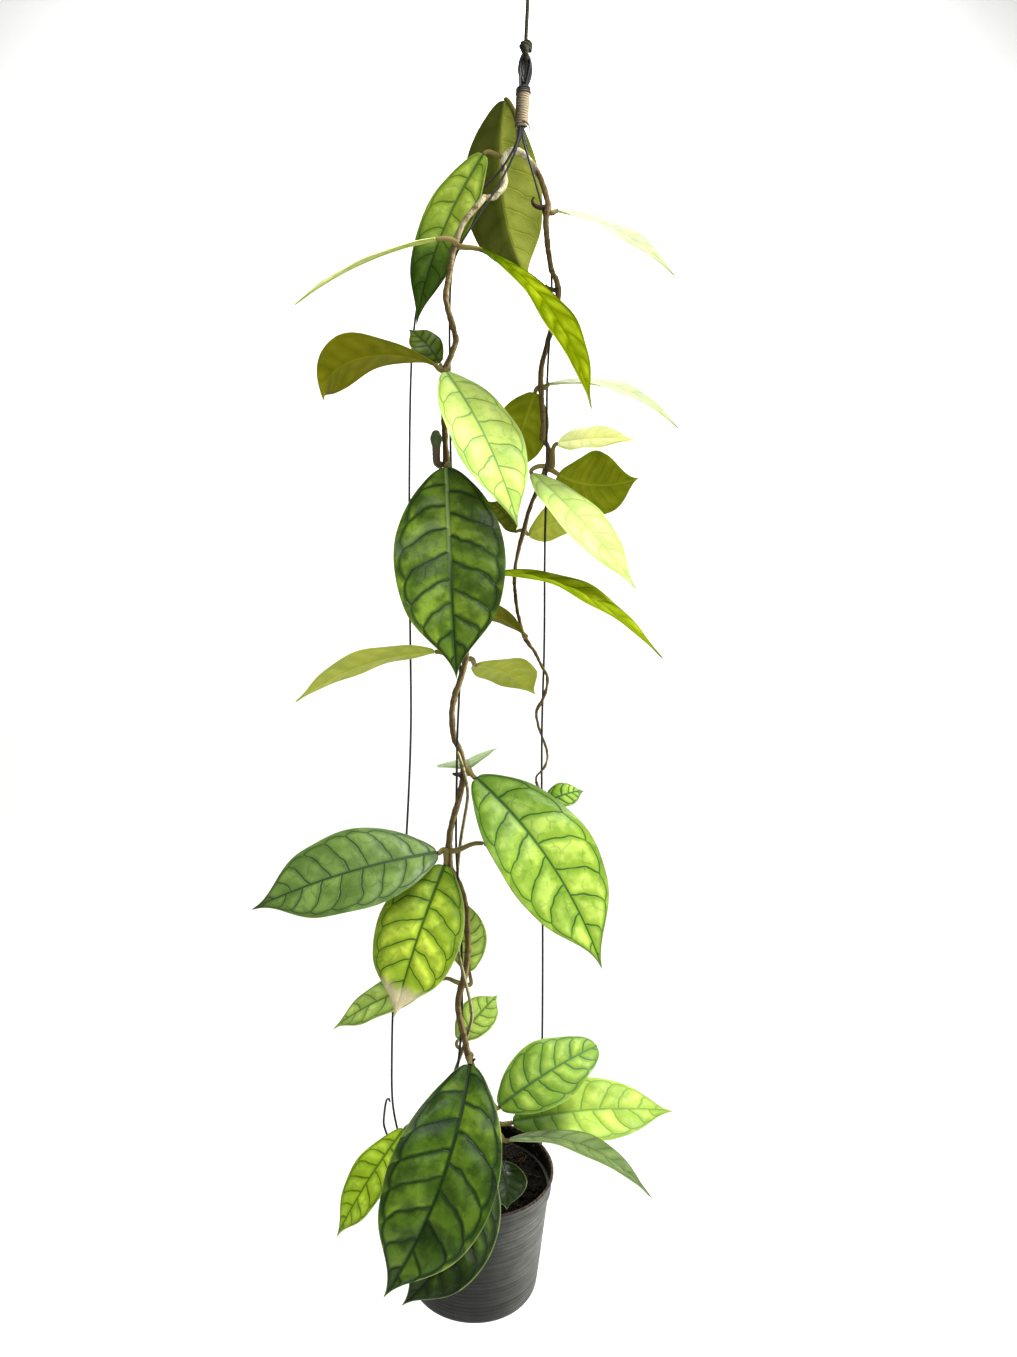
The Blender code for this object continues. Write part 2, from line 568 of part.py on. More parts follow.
LEAVES = [
    Leaf("leaf_01_crown_back", "crown", (-8, 11, 41), (18, 12, -129), 60, (0.1, 0.95, 0.2), "leaf_olive",
         sway=-12, side=(0, 0.1, 1), fold=16, across=6, rows=10),
    Leaf("leaf_02_crown_left", "crown_left", (-13, -4, 0), (-48, 4, -120), 37, (-0.1, -0.92, 0.3),
         "leaf_green", arch=1, sway=7, side=(-1, -0.2, 0), widest=0.42),
    Leaf("leaf_03_shoulder_left", "shoulder", (-11, -20, -4), (-94, -14, -50), 46, (-0.45, -0.42, 0.85),
         "leaf_pale", arch=6, side=(0.1, -1, 0)),
    Leaf("leaf_04_shoulder_right", "shoulder", (20, -3, -5), (74, -31, -119), 48, (0.75, -0.6, 0.4),
         "leaf_bright", arch=16),
    Leaf("leaf_05_trail_top_right", "trail_top", (9, 1, 2), (80, -14, -51), 44, (0.45, -0.68, 0.78),
         "leaf_pale", arch=7),
    Leaf("leaf_06_arched_left", "upper", (-8, -2, 4), (-75, -8, -27), 50, (-0.2, 0.35, 0.9), "leaf_olive",
         arch=25, hook=0.3, side=(-1, -0.6, 0), widest=0.56, twist=35),
    Leaf("leaf_07_young_left", "upper", (-5, 12, 9), (-22, 1, 24), 24, (-0.1, -0.75, 0.62), "leaf_dark",
         arch=3, side=(-0.4, 1, 0)),
    Leaf("leaf_08_bright_middle", "upper", (0, -8, -3), (50, -31, -112), 53, (0.25, -0.75, 0.6),
         "leaf_pale", arch=10, side=(0.4, -1, 0)),
    Leaf("leaf_09_dark_middle", "middle", (-1, -9, -3), (8, -19, -144), 75, (-0.02, -0.97, 0.25),
         "leaf_dark", arch=9, side=(0.4, -1, 0), across=6, rows=10),
    Leaf("leaf_10_trail_back_left", "trail_upper", (-4, 5, -3), (-18, 20, -56), 40, (-0.2, 0.9, 0.35),
         "leaf_olive", arch=4),
    Leaf("leaf_11_trail_right_upper", "trail_upper", (6, -2, 1), (89, -14, -35), 44, (0.3, -0.52, 0.87),
         "leaf_pale", arch=12),
    Leaf("leaf_12_trail_pale_right", "trail_middle", (7, -8, 16), (53, -11, 0), 40, (0.1, -0.6, 0.8),
         "leaf_pale", arch=2, side=(1, -0.6, 0), widest=0.4),
    Leaf("leaf_13_trail_olive_right", "trail_middle", (8, 6, -3), (59, 9, -1), 50, (0.05, 0.9, 0.42),
         "leaf_olive", arch=5, sway=-8),
    Leaf("leaf_14_trail_bright_front", "trail_middle", (-11, -11, -6), (70, -30, -84), 39,
         (0.35, -0.75, 0.55), "leaf_pale", arch=8, sway=4),
    Leaf("leaf_15_trail_small_left", "trail_knee", (-6, -3, 0), (-19, -12, 19), 22, (0.3, -0.8, 0.5),
         "leaf_dark", arch=3),
    Leaf("leaf_16_trail_small_back", "trail_knee", (4, 6, -1), (47, 19, 18), 30, (0, 0.8, 0.6),
         "leaf_olive", arch=4),
    Leaf("leaf_17_long_right", "behind", (8, 0, 2), (129, -24, -57), 50, (0.35, -0.3, 0.88), "leaf_green",
         arch=20, early=0.15),
    Leaf("leaf_18_trail_low_left", "trail_low", (0, -11, 2), (-57, -2, 3), 36, (-0.2, 0.3, 0.9),
         "leaf_olive", arch=14),
    Leaf("leaf_19_low_left", "lower", (-21, 8, 4), (-96, -4, -35), 48, (-0.25, 0.25, 0.93), "leaf_olive",
         arch=9, side=(-1, -0.3, 0)),
    Leaf("leaf_20_low_back_right", "lower", (7, 10, -5), (42, 38, -21), 44, (0.1, 0.5, 0.86),
         "leaf_olive", arch=5, side=(1, 0, 0)),
    Leaf("leaf_21_pointing_back", "waist", (4, 17, 1), (-2, 84, -5), 46, (-0.285, 0.07, 0.958),
         "leaf_green", arch=5, side=(0.8, 1, 0)),
    Leaf("leaf_22_large_right", "waist", (9, -5, -4), (83, -23, -122), 69, (0.2, -0.85, 0.5),
         "leaf_bright", arch=12, sway=-6, side=(0.5, -1, 0), across=6, rows=10),
    Leaf("leaf_23_trail_tip", "trail_end", (3, 2, -14), (29, 6, 9), 22, (0, -0.7, 0.7), "leaf_bright",
         arch=3),
    Leaf("leaf_24_broad_left", "pair", (-8, -5, -1), (-118, -28, -32), 60, (-0.05, -0.8, 0.6),
         "leaf_dark", arch=10, side=(-1, 0.3, 0), across=6, rows=10),
    Leaf("leaf_25_yellow_hanging", "pair", (-3, -4, -9), (-32, -19, -96), 59, (-0.1, -0.9, 0.4),
         "leaf_bright", arch=8, side=(-0.5, -1, 0)),
    Leaf("leaf_26_upright_back", "bend", (3, 13, 5), (-5, 20, 43), 28, (0, -0.9, 0.4), "leaf_green",
         arch=3, side=(1, 0.5, 0), blunt=0.6),
    Leaf("leaf_27_hidden_right", "pair", (22, 12, 3), (64, 12, -32), 42, (0.2, -0.3, 0.93), "leaf_green",
         arch=6, side=(0.8, -0.9, 0)),
    Leaf("leaf_28_narrow_left", "bend", (-15, 6, 2), (-75, 10, -37), 31, (-0.3, -0.55, 0.78),
         "leaf_green", arch=6, side=(-1, -0.1, 0)),
    Leaf("leaf_29_upright_small", "foot", (-8, 20, 5), (27, 20, 25), 26, (-0.1, -0.85, 0.5),
         "leaf_bright", arch=3, side=(0.6, 1, 0)),
    Leaf("leaf_30_pot_right_upper", "low", (9, 9, -5), (68, 22, 34), 46, (-0.1, -0.8, 0.6), "leaf_bright",
         arch=8, blunt=0.9),
    Leaf("leaf_31_pot_right_lower", "base", (13, 32, -8), (115, 9, 4), 48, (0.05, -0.62, 0.78),
         "leaf_pale", arch=9, side=(0.4, 1, 0)),
    Leaf("leaf_32_pot_right_drooping", "base", (10, 4, -9), (93, -34, -23), 42, (0.38, 0.0, 0.92),
         "leaf_dark", arch=15, side=(1, -0.2, 0)),
    Leaf("leaf_33_large_front", "foot", (1, -9, -1), (-53, -32, -135), 71, (0.05, -0.93, 0.35),
         "leaf_dark", arch=12, sway=-9, widest=0.47, fold=12, across=6, rows=10),
    Leaf("leaf_34_front_over_rim", "soil", (0, -22, -5), (-54, -32, -71), 46, (0.1, -0.9, 0.4),
         "leaf_dark", arch=11, sway=-6, across=6, rows=10),
    Leaf("leaf_35_small_at_rim", "soil", (8, -6, -6), (4, -14, -26), 30, (0.3, -0.5, 0.8), "leaf_dark",
         arch=4, side=(1, -0.5, 0)),
    Leaf("leaf_36_pot_left", "side", (-16, -4, -1), (-44, -16, -66), 33, (-0.45, -0.7, 0.5),
         "leaf_bright", arch=8, sway=-3),
]


def outline(part, leaf):
    """Half width of the blade from its foot (0) to its tip (1), for a widest place of 1."""
    tip = max(0.0, (part - 0.66) / 0.34)
    drawn_out = 0.74 + (0.8 - 1.1 * leaf.blunt) * tip * tip * (3 - 2 * tip)
    place = min(part, 1) ** (math.log(0.5) / math.log(leaf.widest))
    return max(0.0, math.sin(math.pi * place)) ** drawn_out


class Blade:
    """The middle surface of a leaf: a bent midrib with two halves, folded, cupped and waved."""

    def __init__(self, leaf, foot):
        reach = Vector(leaf.reach)
        self.leaf = leaf
        self.stalk = STALK_RADIUS * min(1.0, 0.35 + leaf.width / 75)
        self.normal = Vector(leaf.face)
        self.normal = (self.normal - reach * (self.normal.dot(reach) / reach.length_squared)).normalized()
        side = reach.normalized().cross(self.normal)
        bow = self.normal * leaf.arch + side * leaf.sway
        self.frame = [foot, foot + reach * 0.33 + bow * 1.33 * (1 + leaf.early),
                      foot + reach * (0.67 + leaf.hook) + bow * 1.33 * (1 - leaf.early), foot + reach]

    def midrib(self, part):
        a, b, c, d = self.frame
        rest = 1 - part
        point = a * rest ** 3 + b * 3 * rest * rest * part + c * 3 * rest * part * part + d * part ** 3
        run = (b - a) * 3 * rest * rest + (c - b) * 6 * rest * part + (d - c) * 3 * part * part
        tangent = run.normalized()
        normal = (self.normal - tangent * self.normal.dot(tangent)).normalized()
        normal = Matrix.Rotation(math.radians(self.leaf.twist * (part - 0.5)), 3, tangent) @ normal
        return point, tangent, normal

    def point(self, part, across, swell=0.0):
        """across runs from -1 at one margin over the midrib to 1 at the other."""
        leaf = self.leaf
        centre, tangent, normal = self.midrib(part)
        half = leaf.width / 2 * outline(part, leaf) + self.stalk * max(0, 1 - part / 0.08) + 0.3 * part
        rise = abs(across) * half * math.sin(math.radians(leaf.fold))
        rise -= leaf.cup * half * across * across
        rise += 0.035 * half * across * across * math.sin(15 * part + 2.2 * (across > 0))
        spread = across * half * math.cos(math.radians(leaf.fold))
        return centre + tangent.cross(normal) * spread + normal * (rise + swell)

    def upward(self, part, across):
        """The surface's own normal, on the upper side."""
        low, high = max(0.001, part - 0.01), min(0.999, part + 0.01)
        along = self.point(high, across) - self.point(low, across)
        over = self.point(part, across + 0.03) - self.point(part, across - 0.03)
        normal = along.cross(over).normalized()
        return normal if normal.dot(self.midrib(part)[2]) > 0 else -normal


def stalk_rings(blade, start, out, foot, count):
    """Oval rings from the stem to the foot of the blade, with as many points as a blade row."""
    _, heading, up = blade.midrib(0)
    length = (foot - start).length
    bend_a, bend_b = start + out * length * 0.4, foot - heading * length * 0.4
    number = max(1, min(1 + int(out.angle(heading) / math.radians(32)), int(length / 3)))
    rings = []
    tangent = heading
    for part in [1 - (i + 1) / number for i in range(number)]:
        rest = 1 - part
        centre = (start * rest ** 3 + bend_a * 3 * rest * rest * part + bend_b * 3 * rest * part * part
                  + foot * part ** 3)
        run = ((bend_a - start) * rest * rest + (bend_b - bend_a) * 2 * rest * part
               + (foot - bend_b) * part * part)
        turned_to = run.normalized()
        up = tangent.rotation_difference(turned_to) @ up
        tangent = turned_to
        side = tangent.cross(up)
        ring = []
        for k in range(count):
            turn = math.pi - 2 * math.pi * (k + 0.5) / count
            ring.append(centre + (side * math.cos(turn) + up * math.sin(turn)) * blade.stalk)
        rings.append(ring)
    return rings[::-1]


def build_leaf(leaf, path, step, stem_radius):
    """One closed body: the stalk, then rows that follow the side veins to the tip."""
    stem = Vector(path[step])
    foot = Vector(NODES[leaf.node]) + Vector(leaf.stalk)
    blade = Blade(leaf, foot)
    out = sideways(Vector(leaf.side or leaf.stalk), path, step)
    start = stem + out * (stem_radius + CLEAR)
    across = [2 * j / leaf.across - 1 for j in range(leaf.across + 1)]
    count = 2 * len(across)
    rings = stalk_rings(blade, start, out, foot, count)
    parts = [0, 0.035] + [i / leaf.rows for i in range(1, leaf.rows + 1)]
    for row, part in enumerate(parts):
        crest = row % 2 == 1 and 1 < row < len(parts) - 2
        upper, lower = [], []
        for place in across:
            vein = min(1.0, part + 0.07 * abs(place) * math.sin(math.pi * part))
            inner = 0 < abs(place) < 1
            swell = leaf.quilt * crest * inner - 0.3 * leaf.quilt * (place == 0)
            point = blade.point(vein, place, swell * outline(part, leaf))
            half = (BLADE_THICKNESS + (MARGIN_THICKNESS - BLADE_THICKNESS) * place * place) / 2
            half += (blade.stalk * 0.8 - half) * math.exp(-part / 0.03)
            at_ends = min(1.0, math.exp(-part / 0.05) + math.exp((part - 1) / 0.04))
            normal = blade.upward(min(vein, 0.97), place).lerp(blade.midrib(part)[2], at_ends)
            normal.normalize()
            upper.append(point + normal * half)
            lower.append(point - normal * half)
        rings.append(upper + lower[::-1])
    points = [p for ring in rings for p in ring]
    faces = []
    last = len(points) - count
    for k in range(1, len(across)):
        for ring in (0, last):
            faces.append((ring + k - 1, ring + k, ring + count - 1 - k))
            faces.append((ring + k - 1, ring + count - 1 - k, ring + count - k))
    for row in range(len(rings) - 1):
        for k in range(count):
            mirrored = k if k < len(across) else count - 2 - k
            a, b = row * count + k, row * count + (k + 1) % count
            c, d = b + count, a + count
            on_margin = k in (len(across) - 1, count - 1)
            rising = (mirrored < leaf.across / 2) != (k >= len(across))
            if on_margin or rising:
                faces += [(a, b, c), (a, c, d)]
            else:
                faces += [(a, b, d), (b, c, d)]
    mat = material(leaf.tone, TONES[leaf.tone], 0.45)
    add_object(leaf.name, closed_mesh(leaf.name, points, faces), mat)


clear_scene()
build_pot()
wire_lines = build_wires()
all_wires = np.concatenate(list(wire_lines.values()))
vine_path, vine_radius, vine_joints = build_vine(all_wires)
strand_path = build_strand(all_wires, vine_path)
build_mix([(vine_path, VINE_RADIUS), (strand_path, STRAND_RADIUS)])
build_binding()
build_cord(list(wire_lines.values()))
build_spur(vine_path, vine_radius, vine_joints)
for one in LEAVES:
    if one.node == "side":
        strand_step = int(np.linalg.norm(strand_path - np.array(NODES["side"]), axis=1).argmin())
        build_leaf(one, strand_path, strand_step, STRAND_RADIUS)
    else:
        vine_step = vine_joints[one.node]
        build_leaf(one, vine_path, vine_step, vine_radius(vine_step))
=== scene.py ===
"""A hoya callistophylla in a black nursery pot, dressed for rendering.

The plant is put together as it grew: the cord it hangs from, the wire hanger, the pot with its
mix, the vine that climbed the front wire, and then the leaves. Sizes are in millimetres and are
turned into metres where a mesh is made. +X is to the right, +Y is away from the viewer, +Z is up.
"""
import math
from dataclasses import dataclass

import bmesh
import bpy
import numpy as np
from mathutils import Matrix, Vector, noise
from mathutils.bvhtree import BVHTree


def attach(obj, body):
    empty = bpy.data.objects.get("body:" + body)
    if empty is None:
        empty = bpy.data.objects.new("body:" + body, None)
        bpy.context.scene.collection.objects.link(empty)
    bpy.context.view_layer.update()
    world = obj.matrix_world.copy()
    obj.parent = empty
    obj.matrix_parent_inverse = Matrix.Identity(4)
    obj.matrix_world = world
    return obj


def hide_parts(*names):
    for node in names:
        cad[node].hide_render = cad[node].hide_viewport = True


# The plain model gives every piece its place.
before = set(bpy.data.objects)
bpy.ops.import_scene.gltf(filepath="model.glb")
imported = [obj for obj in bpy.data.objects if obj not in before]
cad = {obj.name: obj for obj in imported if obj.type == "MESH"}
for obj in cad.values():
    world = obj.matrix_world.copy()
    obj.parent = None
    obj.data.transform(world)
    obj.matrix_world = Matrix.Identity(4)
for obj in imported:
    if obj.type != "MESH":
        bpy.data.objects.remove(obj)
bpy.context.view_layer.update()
MM = 0.001

# The camera looks level at the middle of the vine from 0.77 m away, with a slightly wide lens.
CAMERA_PLACE = (-0.01365, -0.77, -0.49735)
CAMERA_LENS = 29.18
FILM_HEIGHT = 36
camera_data = bpy.data.cameras.new("photo_camera")
camera_data.sensor_fit = "VERTICAL"
camera_data.sensor_height = FILM_HEIGHT
camera_data.lens = CAMERA_LENS
camera_data.clip_start = 0.01
camera = bpy.data.objects.new("photo_camera", camera_data)
camera.location = CAMERA_PLACE
camera.rotation_euler = (math.pi / 2, 0, 0)
bpy.context.scene.collection.objects.link(camera)
bpy.context.scene.camera = camera
bpy.context.scene.view_settings.view_transform = "Standard"


# The plant hangs from a short olive cord of two millimetres, laid from three strands. It has a
# loop to hang it by, tied at the top, and is tied round the eye of the wires at its foot.
CORD_DIAMETER = 2.0
CORD_FLUFF = 0.4   # how far loose fibres stand off the cord
CORD_STEPS = 15
CORD_TOP = (0, 0, -19.85)
CORD_FOOT = (-1.6, 0, -52.15)
CORD_OLIVE_DARK = (0.008, 0.008, 0.003)
CORD_OLIVE_LIGHT = (0.05, 0.048, 0.022)
SOCKETS = {"number": "NodeSocketFloat", "count": "NodeSocketInt", "colour": "NodeSocketColor",
           "arrow": "NodeSocketVector", "shape": "NodeSocketGeometry", "finish": "NodeSocketMaterial"}


def feed(socket, value):
    """Joins a value of the tree to a socket, or sets a plain value or a colour on it."""
    if isinstance(value, Run):
        socket.id_data.links.new(value.socket, socket)
    elif socket.type == "RGBA":
        socket.default_value = (*value, 1.0)
    else:
        socket.default_value = value


class Run:
    """A number or an arrow on its way through a node tree. Plain signs add the Math nodes for it."""

    def __init__(self, socket):
        self.socket = socket
        self.tree = socket.id_data
        self.arrow = socket.type == "VECTOR"

    def math(self, operation, *values, kind="ShaderNodeMath", output=0):
        made = self.tree.nodes.new(kind)
        made.operation = operation
        for socket, value in zip(made.inputs, (self, *values)):
            feed(socket, value)
        return Run(made.outputs[output])

    def arrows(self, operation, *values, output=0):
        return self.math(operation, *values, kind="ShaderNodeVectorMath", output=output)

    def dot(self, other):
        return self.arrows("DOT_PRODUCT", other, output=1)

    def length(self):
        return self.arrows("LENGTH", output=1)

    def cross(self, other):
        return self.arrows("CROSS_PRODUCT", other)

    def unit(self):
        return self.arrows("NORMALIZE")

    def least(self, other):
        return self.math("MINIMUM", other)

    def most(self, other):
        return self.math("MAXIMUM", other)

    def above(self, other):
        return self.math("GREATER_THAN", other)

    def sine(self):
        return self.math("SINE")

    def exp(self):
        return self.math("EXPONENT")

    def __add__(self, other):
        return self.arrows("ADD", other) if self.arrow else self.math("ADD", other)

    def __sub__(self, other):
        return self.arrows("SUBTRACT", other) if self.arrow else self.math("SUBTRACT", other)

    def __mul__(self, other):
        if not self.arrow:
            return self.math("MULTIPLY", other)
        return add(self.tree, "ShaderNodeVectorMath", 0, {"operation": "SCALE"}, Vector=self, Scale=other)

    def __truediv__(self, other):
        return self.math("DIVIDE", other)

    def __pow__(self, other):
        return self.math("POWER", other)

    def __abs__(self):
        return self.math("ABSOLUTE")

    def __neg__(self):
        return self * -1.0

    def __radd__(self, other):
        return self + other

    def __rmul__(self, other):
        return self * other

    def __rsub__(self, other):
        return -self + other

    def between(self, low, high, start=0.0, end=1.0):
        """Rises smoothly from start to end as the number goes from low to high."""
        made = self.tree.nodes.new("ShaderNodeMapRange")
        made.interpolation_type = "SMOOTHSTEP"
        for socket, value in zip(made.inputs, (self, low, high, start, end)):
            feed(socket, value)
        return Run(made.outputs[0])

    def parts(self):
        made = self.tree.nodes.new("ShaderNodeSeparateXYZ")
        feed(made.inputs[0], self)
        return [Run(socket) for socket in made.outputs]


def add(tree, kind, output=0, settings=(), **inputs):
    """Adds one node, with its inputs by name, and gives one of its outputs."""
    made = tree.nodes.new(kind)
    for key, value in dict(settings).items():
        setattr(made, key, value)
    for key, value in inputs.items():
        feed(made.inputs[key.replace("_", " ")], value)
    return Run(made.outputs[output])


def tree_of(*values):
    return next(value.tree for value in values if isinstance(value, Run))


def arrow(x, y, z):
    return add(tree_of(x, y, z), "ShaderNodeCombineXYZ", X=x, Y=y, Z=z)


def object_spot(tree):
    return add(tree, "ShaderNodeTexCoord", 3)


def facing_right(tree):
    """How far the surface looks to the right, where the light comes from."""
    return add(tree, "ShaderNodeTexCoord", 1).parts()[0]


def grain(spot, scale, detail=2.0):
    return add(spot.tree, "ShaderNodeTexNoise", Vector=spot, Scale=scale, Detail=detail)


def blend(part, first, second):
    """One colour turning into another as part goes from 0 to 1."""
    made = tree_of(part, first, second).nodes.new("ShaderNodeMix")
    made.data_type = "RGBA"
    for place, value in zip((0, 6, 7), (part, first, second)):
        feed(made.inputs[place], value)
    return Run(made.outputs[2])


def start_tree(name, kind, inputs, outputs):
    """A node group with named inputs and outputs: the tree, its inputs and its output node."""
    tree = bpy.data.node_groups.new(name, kind)
    for label, socket in outputs.items():
        tree.interface.new_socket(label, in_out="OUTPUT", socket_type=SOCKETS[socket])
    for label, socket in inputs.items():
        tree.interface.new_socket(label, in_out="INPUT", socket_type=SOCKETS[socket])
    entry = tree.nodes.new("NodeGroupInput")
    return tree, {label: Run(entry.outputs[label]) for label in inputs}, tree.nodes.new("NodeGroupOutput")


def start_finish(name, roughness, **sockets):
    """A material and its main shader, with the values that are the same all over it."""
    finish = bpy.data.materials.new(name)
    finish.use_nodes = True
    shader = finish.node_tree.nodes["Principled BSDF"]
    feed(shader.inputs["Roughness"], roughness)
    for key, value in sockets.items():
        feed(shader.inputs[key.replace("_", " ")], value)
    return finish, finish.node_tree, shader


def use_group(tree, group, inputs):
    """Places a shared group in a material and gives its outputs by name."""
    made = tree.nodes.new("ShaderNodeGroup")
    made.node_tree = group
    for key, value in inputs.items():
        feed(made.inputs[key], value)
    return {socket.name: Run(socket) for socket in made.outputs}


def paint(shader, colour, height, roughness=None, strength=1.0):
    """Gives a finish its colour, its relief of up to a millimetre and, where it varies, its gloss."""
    feed(shader.inputs["Base Color"], colour)
    relief = add(height.tree, "ShaderNodeBump", Height=height, Distance=MM, Strength=strength)
    feed(shader.inputs["Normal"], relief)
    if roughness:
        feed(shader.inputs["Roughness"], roughness)


def laid_cord():
    """Strands laid round a cord that runs up through Axis, with a few loose fibres."""
    tree, given, done = start_tree("laid_cord", "ShaderNodeTree", {
        "Axis": "arrow", "Pitch": "number", "Strands": "number", "Dark": "colour", "Light": "colour"},
        {"Color": "colour", "Height": "number"})
    spot = object_spot(tree)
    x, y, z = (spot - given["Axis"]).parts()
    turn = y.math("ARCTAN2", x)
    lay = (z * (2 * math.pi) / given["Pitch"] + turn * given["Strands"]).sine() * 0.5 + 0.5
    fibres = grain(spot, 2500.0, 3.0)
    # The grooves between the strands are painted darker, as painted shade, and the side that faces right is
    # painted lighter, as painted light.
    painted_lit_side = facing_right(tree) * 0.6
    light = lay * 0.35 + fibres * 0.5 + painted_lit_side + 0.02
    feed(done.inputs["Color"], blend(light, given["Dark"], given["Light"]))
    feed(done.inputs["Height"], lay ** 0.6 * 0.25 + fibres * 0.12)
    return tree


cord_group = laid_cord()


def cord_finish(name, axis, pitch, strands, dark, light):
    finish, tree, shader = start_finish(name, 0.9, Sheen_Weight=0.06, Specular_IOR_Level=0.2)
    out = use_group(tree, cord_group, {
        "Axis": Vector(axis) * MM, "Pitch": pitch * MM, "Strands": strands, "Dark": dark, "Light": light})
    paint(shader, out["Color"], out["Height"])
    return finish


def new_piece(name, data, finish=None):
    piece = bpy.data.objects.new(name, data)
    bpy.context.scene.collection.objects.link(piece)
    if finish:
        data.materials.clear()
        data.materials.append(finish)
    return piece


def new_curve(name, radius, roundness):
    curve = bpy.data.curves.new(name, "CURVE")
    curve.dimensions = "3D"
    curve.bevel_depth = radius * MM
    curve.bevel_resolution = roundness
    return curve


def draw_line(curve, points):
    line = curve.splines.new("POLY")
    line.points.add(len(points) - 1)
    for spot, point in zip(line.points, points):
        spot.co = (*(Vector(point) * MM), 1)


def keep(piece, node=None):
    """Hangs a piece on the one body, and hides the plain node that it stands for."""
    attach(piece, "root")
    if node:
        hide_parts(node)
    return piece


def now(piece):
    """A piece's mesh as it is after its modifiers."""
    return bpy.data.meshes.new_from_object(piece.evaluated_get(bpy.context.evaluated_depsgraph_get()))


def grow(name, tree, values, start=None):
    """Runs a Geometry Nodes tree once, with its inputs by name, and keeps its result as a plain mesh."""
    piece = new_piece(name, start or bpy.data.meshes.new(name))
    step = piece.modifiers.new("grow", "NODES")
    step.node_group = tree
    for item in tree.interface.items_tree:
        if item.item_type == "SOCKET" and item.in_out == "INPUT" and item.name in values:
            value = values[item.name]
            step[item.identifier] = value if isinstance(value, (int, float, bpy.types.ID)) else tuple(value)
    piece.update_tag()
    mesh = now(piece)
    piece.modifiers.clear()
    mesh.name = name
    piece.data = mesh
    return piece


def give_shape(shape, given, done):
    """Ends a shape tree: smooth shading, real copies and one finish."""
    smooth = add(shape.tree, "GeometryNodeSetShadeSmooth", Geometry=shape)
    plain = add(shape.tree, "GeometryNodeRealizeInstances", Geometry=smooth)
    painted = add(shape.tree, "GeometryNodeSetMaterial", Geometry=plain, Material=given["Finish"])
    feed(done.inputs[0], painted)
    return shape.tree


def tube_along(line, radius, sides, **width):
    ring = add(line.tree, "GeometryNodeCurvePrimitiveCircle", Resolution=sides, Radius=radius)
    return add(line.tree, "GeometryNodeCurveToMesh", Curve=line, Profile_Curve=ring, Fill_Caps=True, **width)


def grown_skin():
    """Rounds a faceted tube, brings it back to its full girth and gives it low ridges along its length."""
    tree, given, done = start_tree("grown_skin", "GeometryNodeTree", {
        "Geometry": "shape", "Levels": "count", "Push": "number", "Ridge": "number", "Grain": "number",
        "Stretch": "number", "Finish": "finish"}, {"Geometry": "shape"})
    round_shape = add(tree, "GeometryNodeSubdivisionSurface", Mesh=given["Geometry"], Level=given["Levels"])
    normal = add(tree, "GeometryNodeInputNormal")
    x, y, z = add(tree, "GeometryNodeInputPosition").parts()
    lumps = grain(arrow(x, y, z / given["Stretch"]), given["Grain"], 3.0) - 0.5
    moved = add(tree, "GeometryNodeSetPosition", Geometry=round_shape,
                Offset=normal * (given["Push"] + lumps * given["Ridge"]))
    return give_shape(moved, given, done)


skin_tree = grown_skin()


def rounded(name, node, finish, push, ridge=0.0, knobs=900.0, stretch=1.0):
    """A CAD tube as a fine piece: a copy of its mesh, merged, joined to four-sided faces and rounded."""
    shell = bmesh.new()
    shell.from_mesh(cad[node].data)
    bmesh.ops.remove_doubles(shell, verts=shell.verts, dist=0.00001)
    bmesh.ops.join_triangles(shell, faces=shell.faces, angle_face_threshold=math.radians(50),
                             angle_shape_threshold=math.radians(70))
    mesh = bpy.data.meshes.new(name)
    shell.to_mesh(mesh)
    shell.free()
    piece = grow(name, skin_tree, {"Levels": 2, "Push": push * MM, "Ridge": ridge * MM, "Grain": knobs,
                                   "Stretch": stretch, "Finish": finish}, mesh)
    return keep(piece, node)


def wound_cord():
    """A cord wound round an upright core, from the foot to the top."""
    tree, given, done = start_tree("wound_cord", "GeometryNodeTree", {
        "Foot": "arrow", "Height": "number", "Turns": "number", "Foot Radius": "number",
        "Top Radius": "number", "Cord Radius": "number", "Lean": "number", "Drift": "number",
        "Finish": "finish"}, {"Geometry": "shape"})
    coil = add(tree, "GeometryNodeCurveSpiral", Resolution=22, Rotations=given["Turns"],
               Start_Radius=given["Foot Radius"], End_Radius=given["Top Radius"], Height=given["Height"])
    x, _, z = add(tree, "GeometryNodeInputPosition").parts()
    leant = add(tree, "GeometryNodeSetPosition", Geometry=coil,
                Offset=arrow(z * given["Drift"], 0.0, x * given["Lean"]))
    tube = tube_along(leant, given["Cord Radius"], 9)
    placed = add(tree, "GeometryNodeTransform", Geometry=tube, Translation=given["Foot"])
    return give_shape(placed, given, done)


winding_tree = wound_cord()


def wind(name, foot, height, turns, radii, cord_radius, finish, node=None, lean=0.12, drift=0.0):
    """A winding in millimetres. radii are at its foot and top, lean tips its turns, drift the whole."""
    piece = grow(name, winding_tree, {
        "Foot": Vector(foot) * MM, "Height": height * MM, "Turns": turns, "Foot Radius": radii[0] * MM,
        "Top Radius": radii[1] * MM, "Cord Radius": cord_radius * MM, "Lean": lean, "Drift": drift,
        "Finish": finish})
    return keep(piece, node)


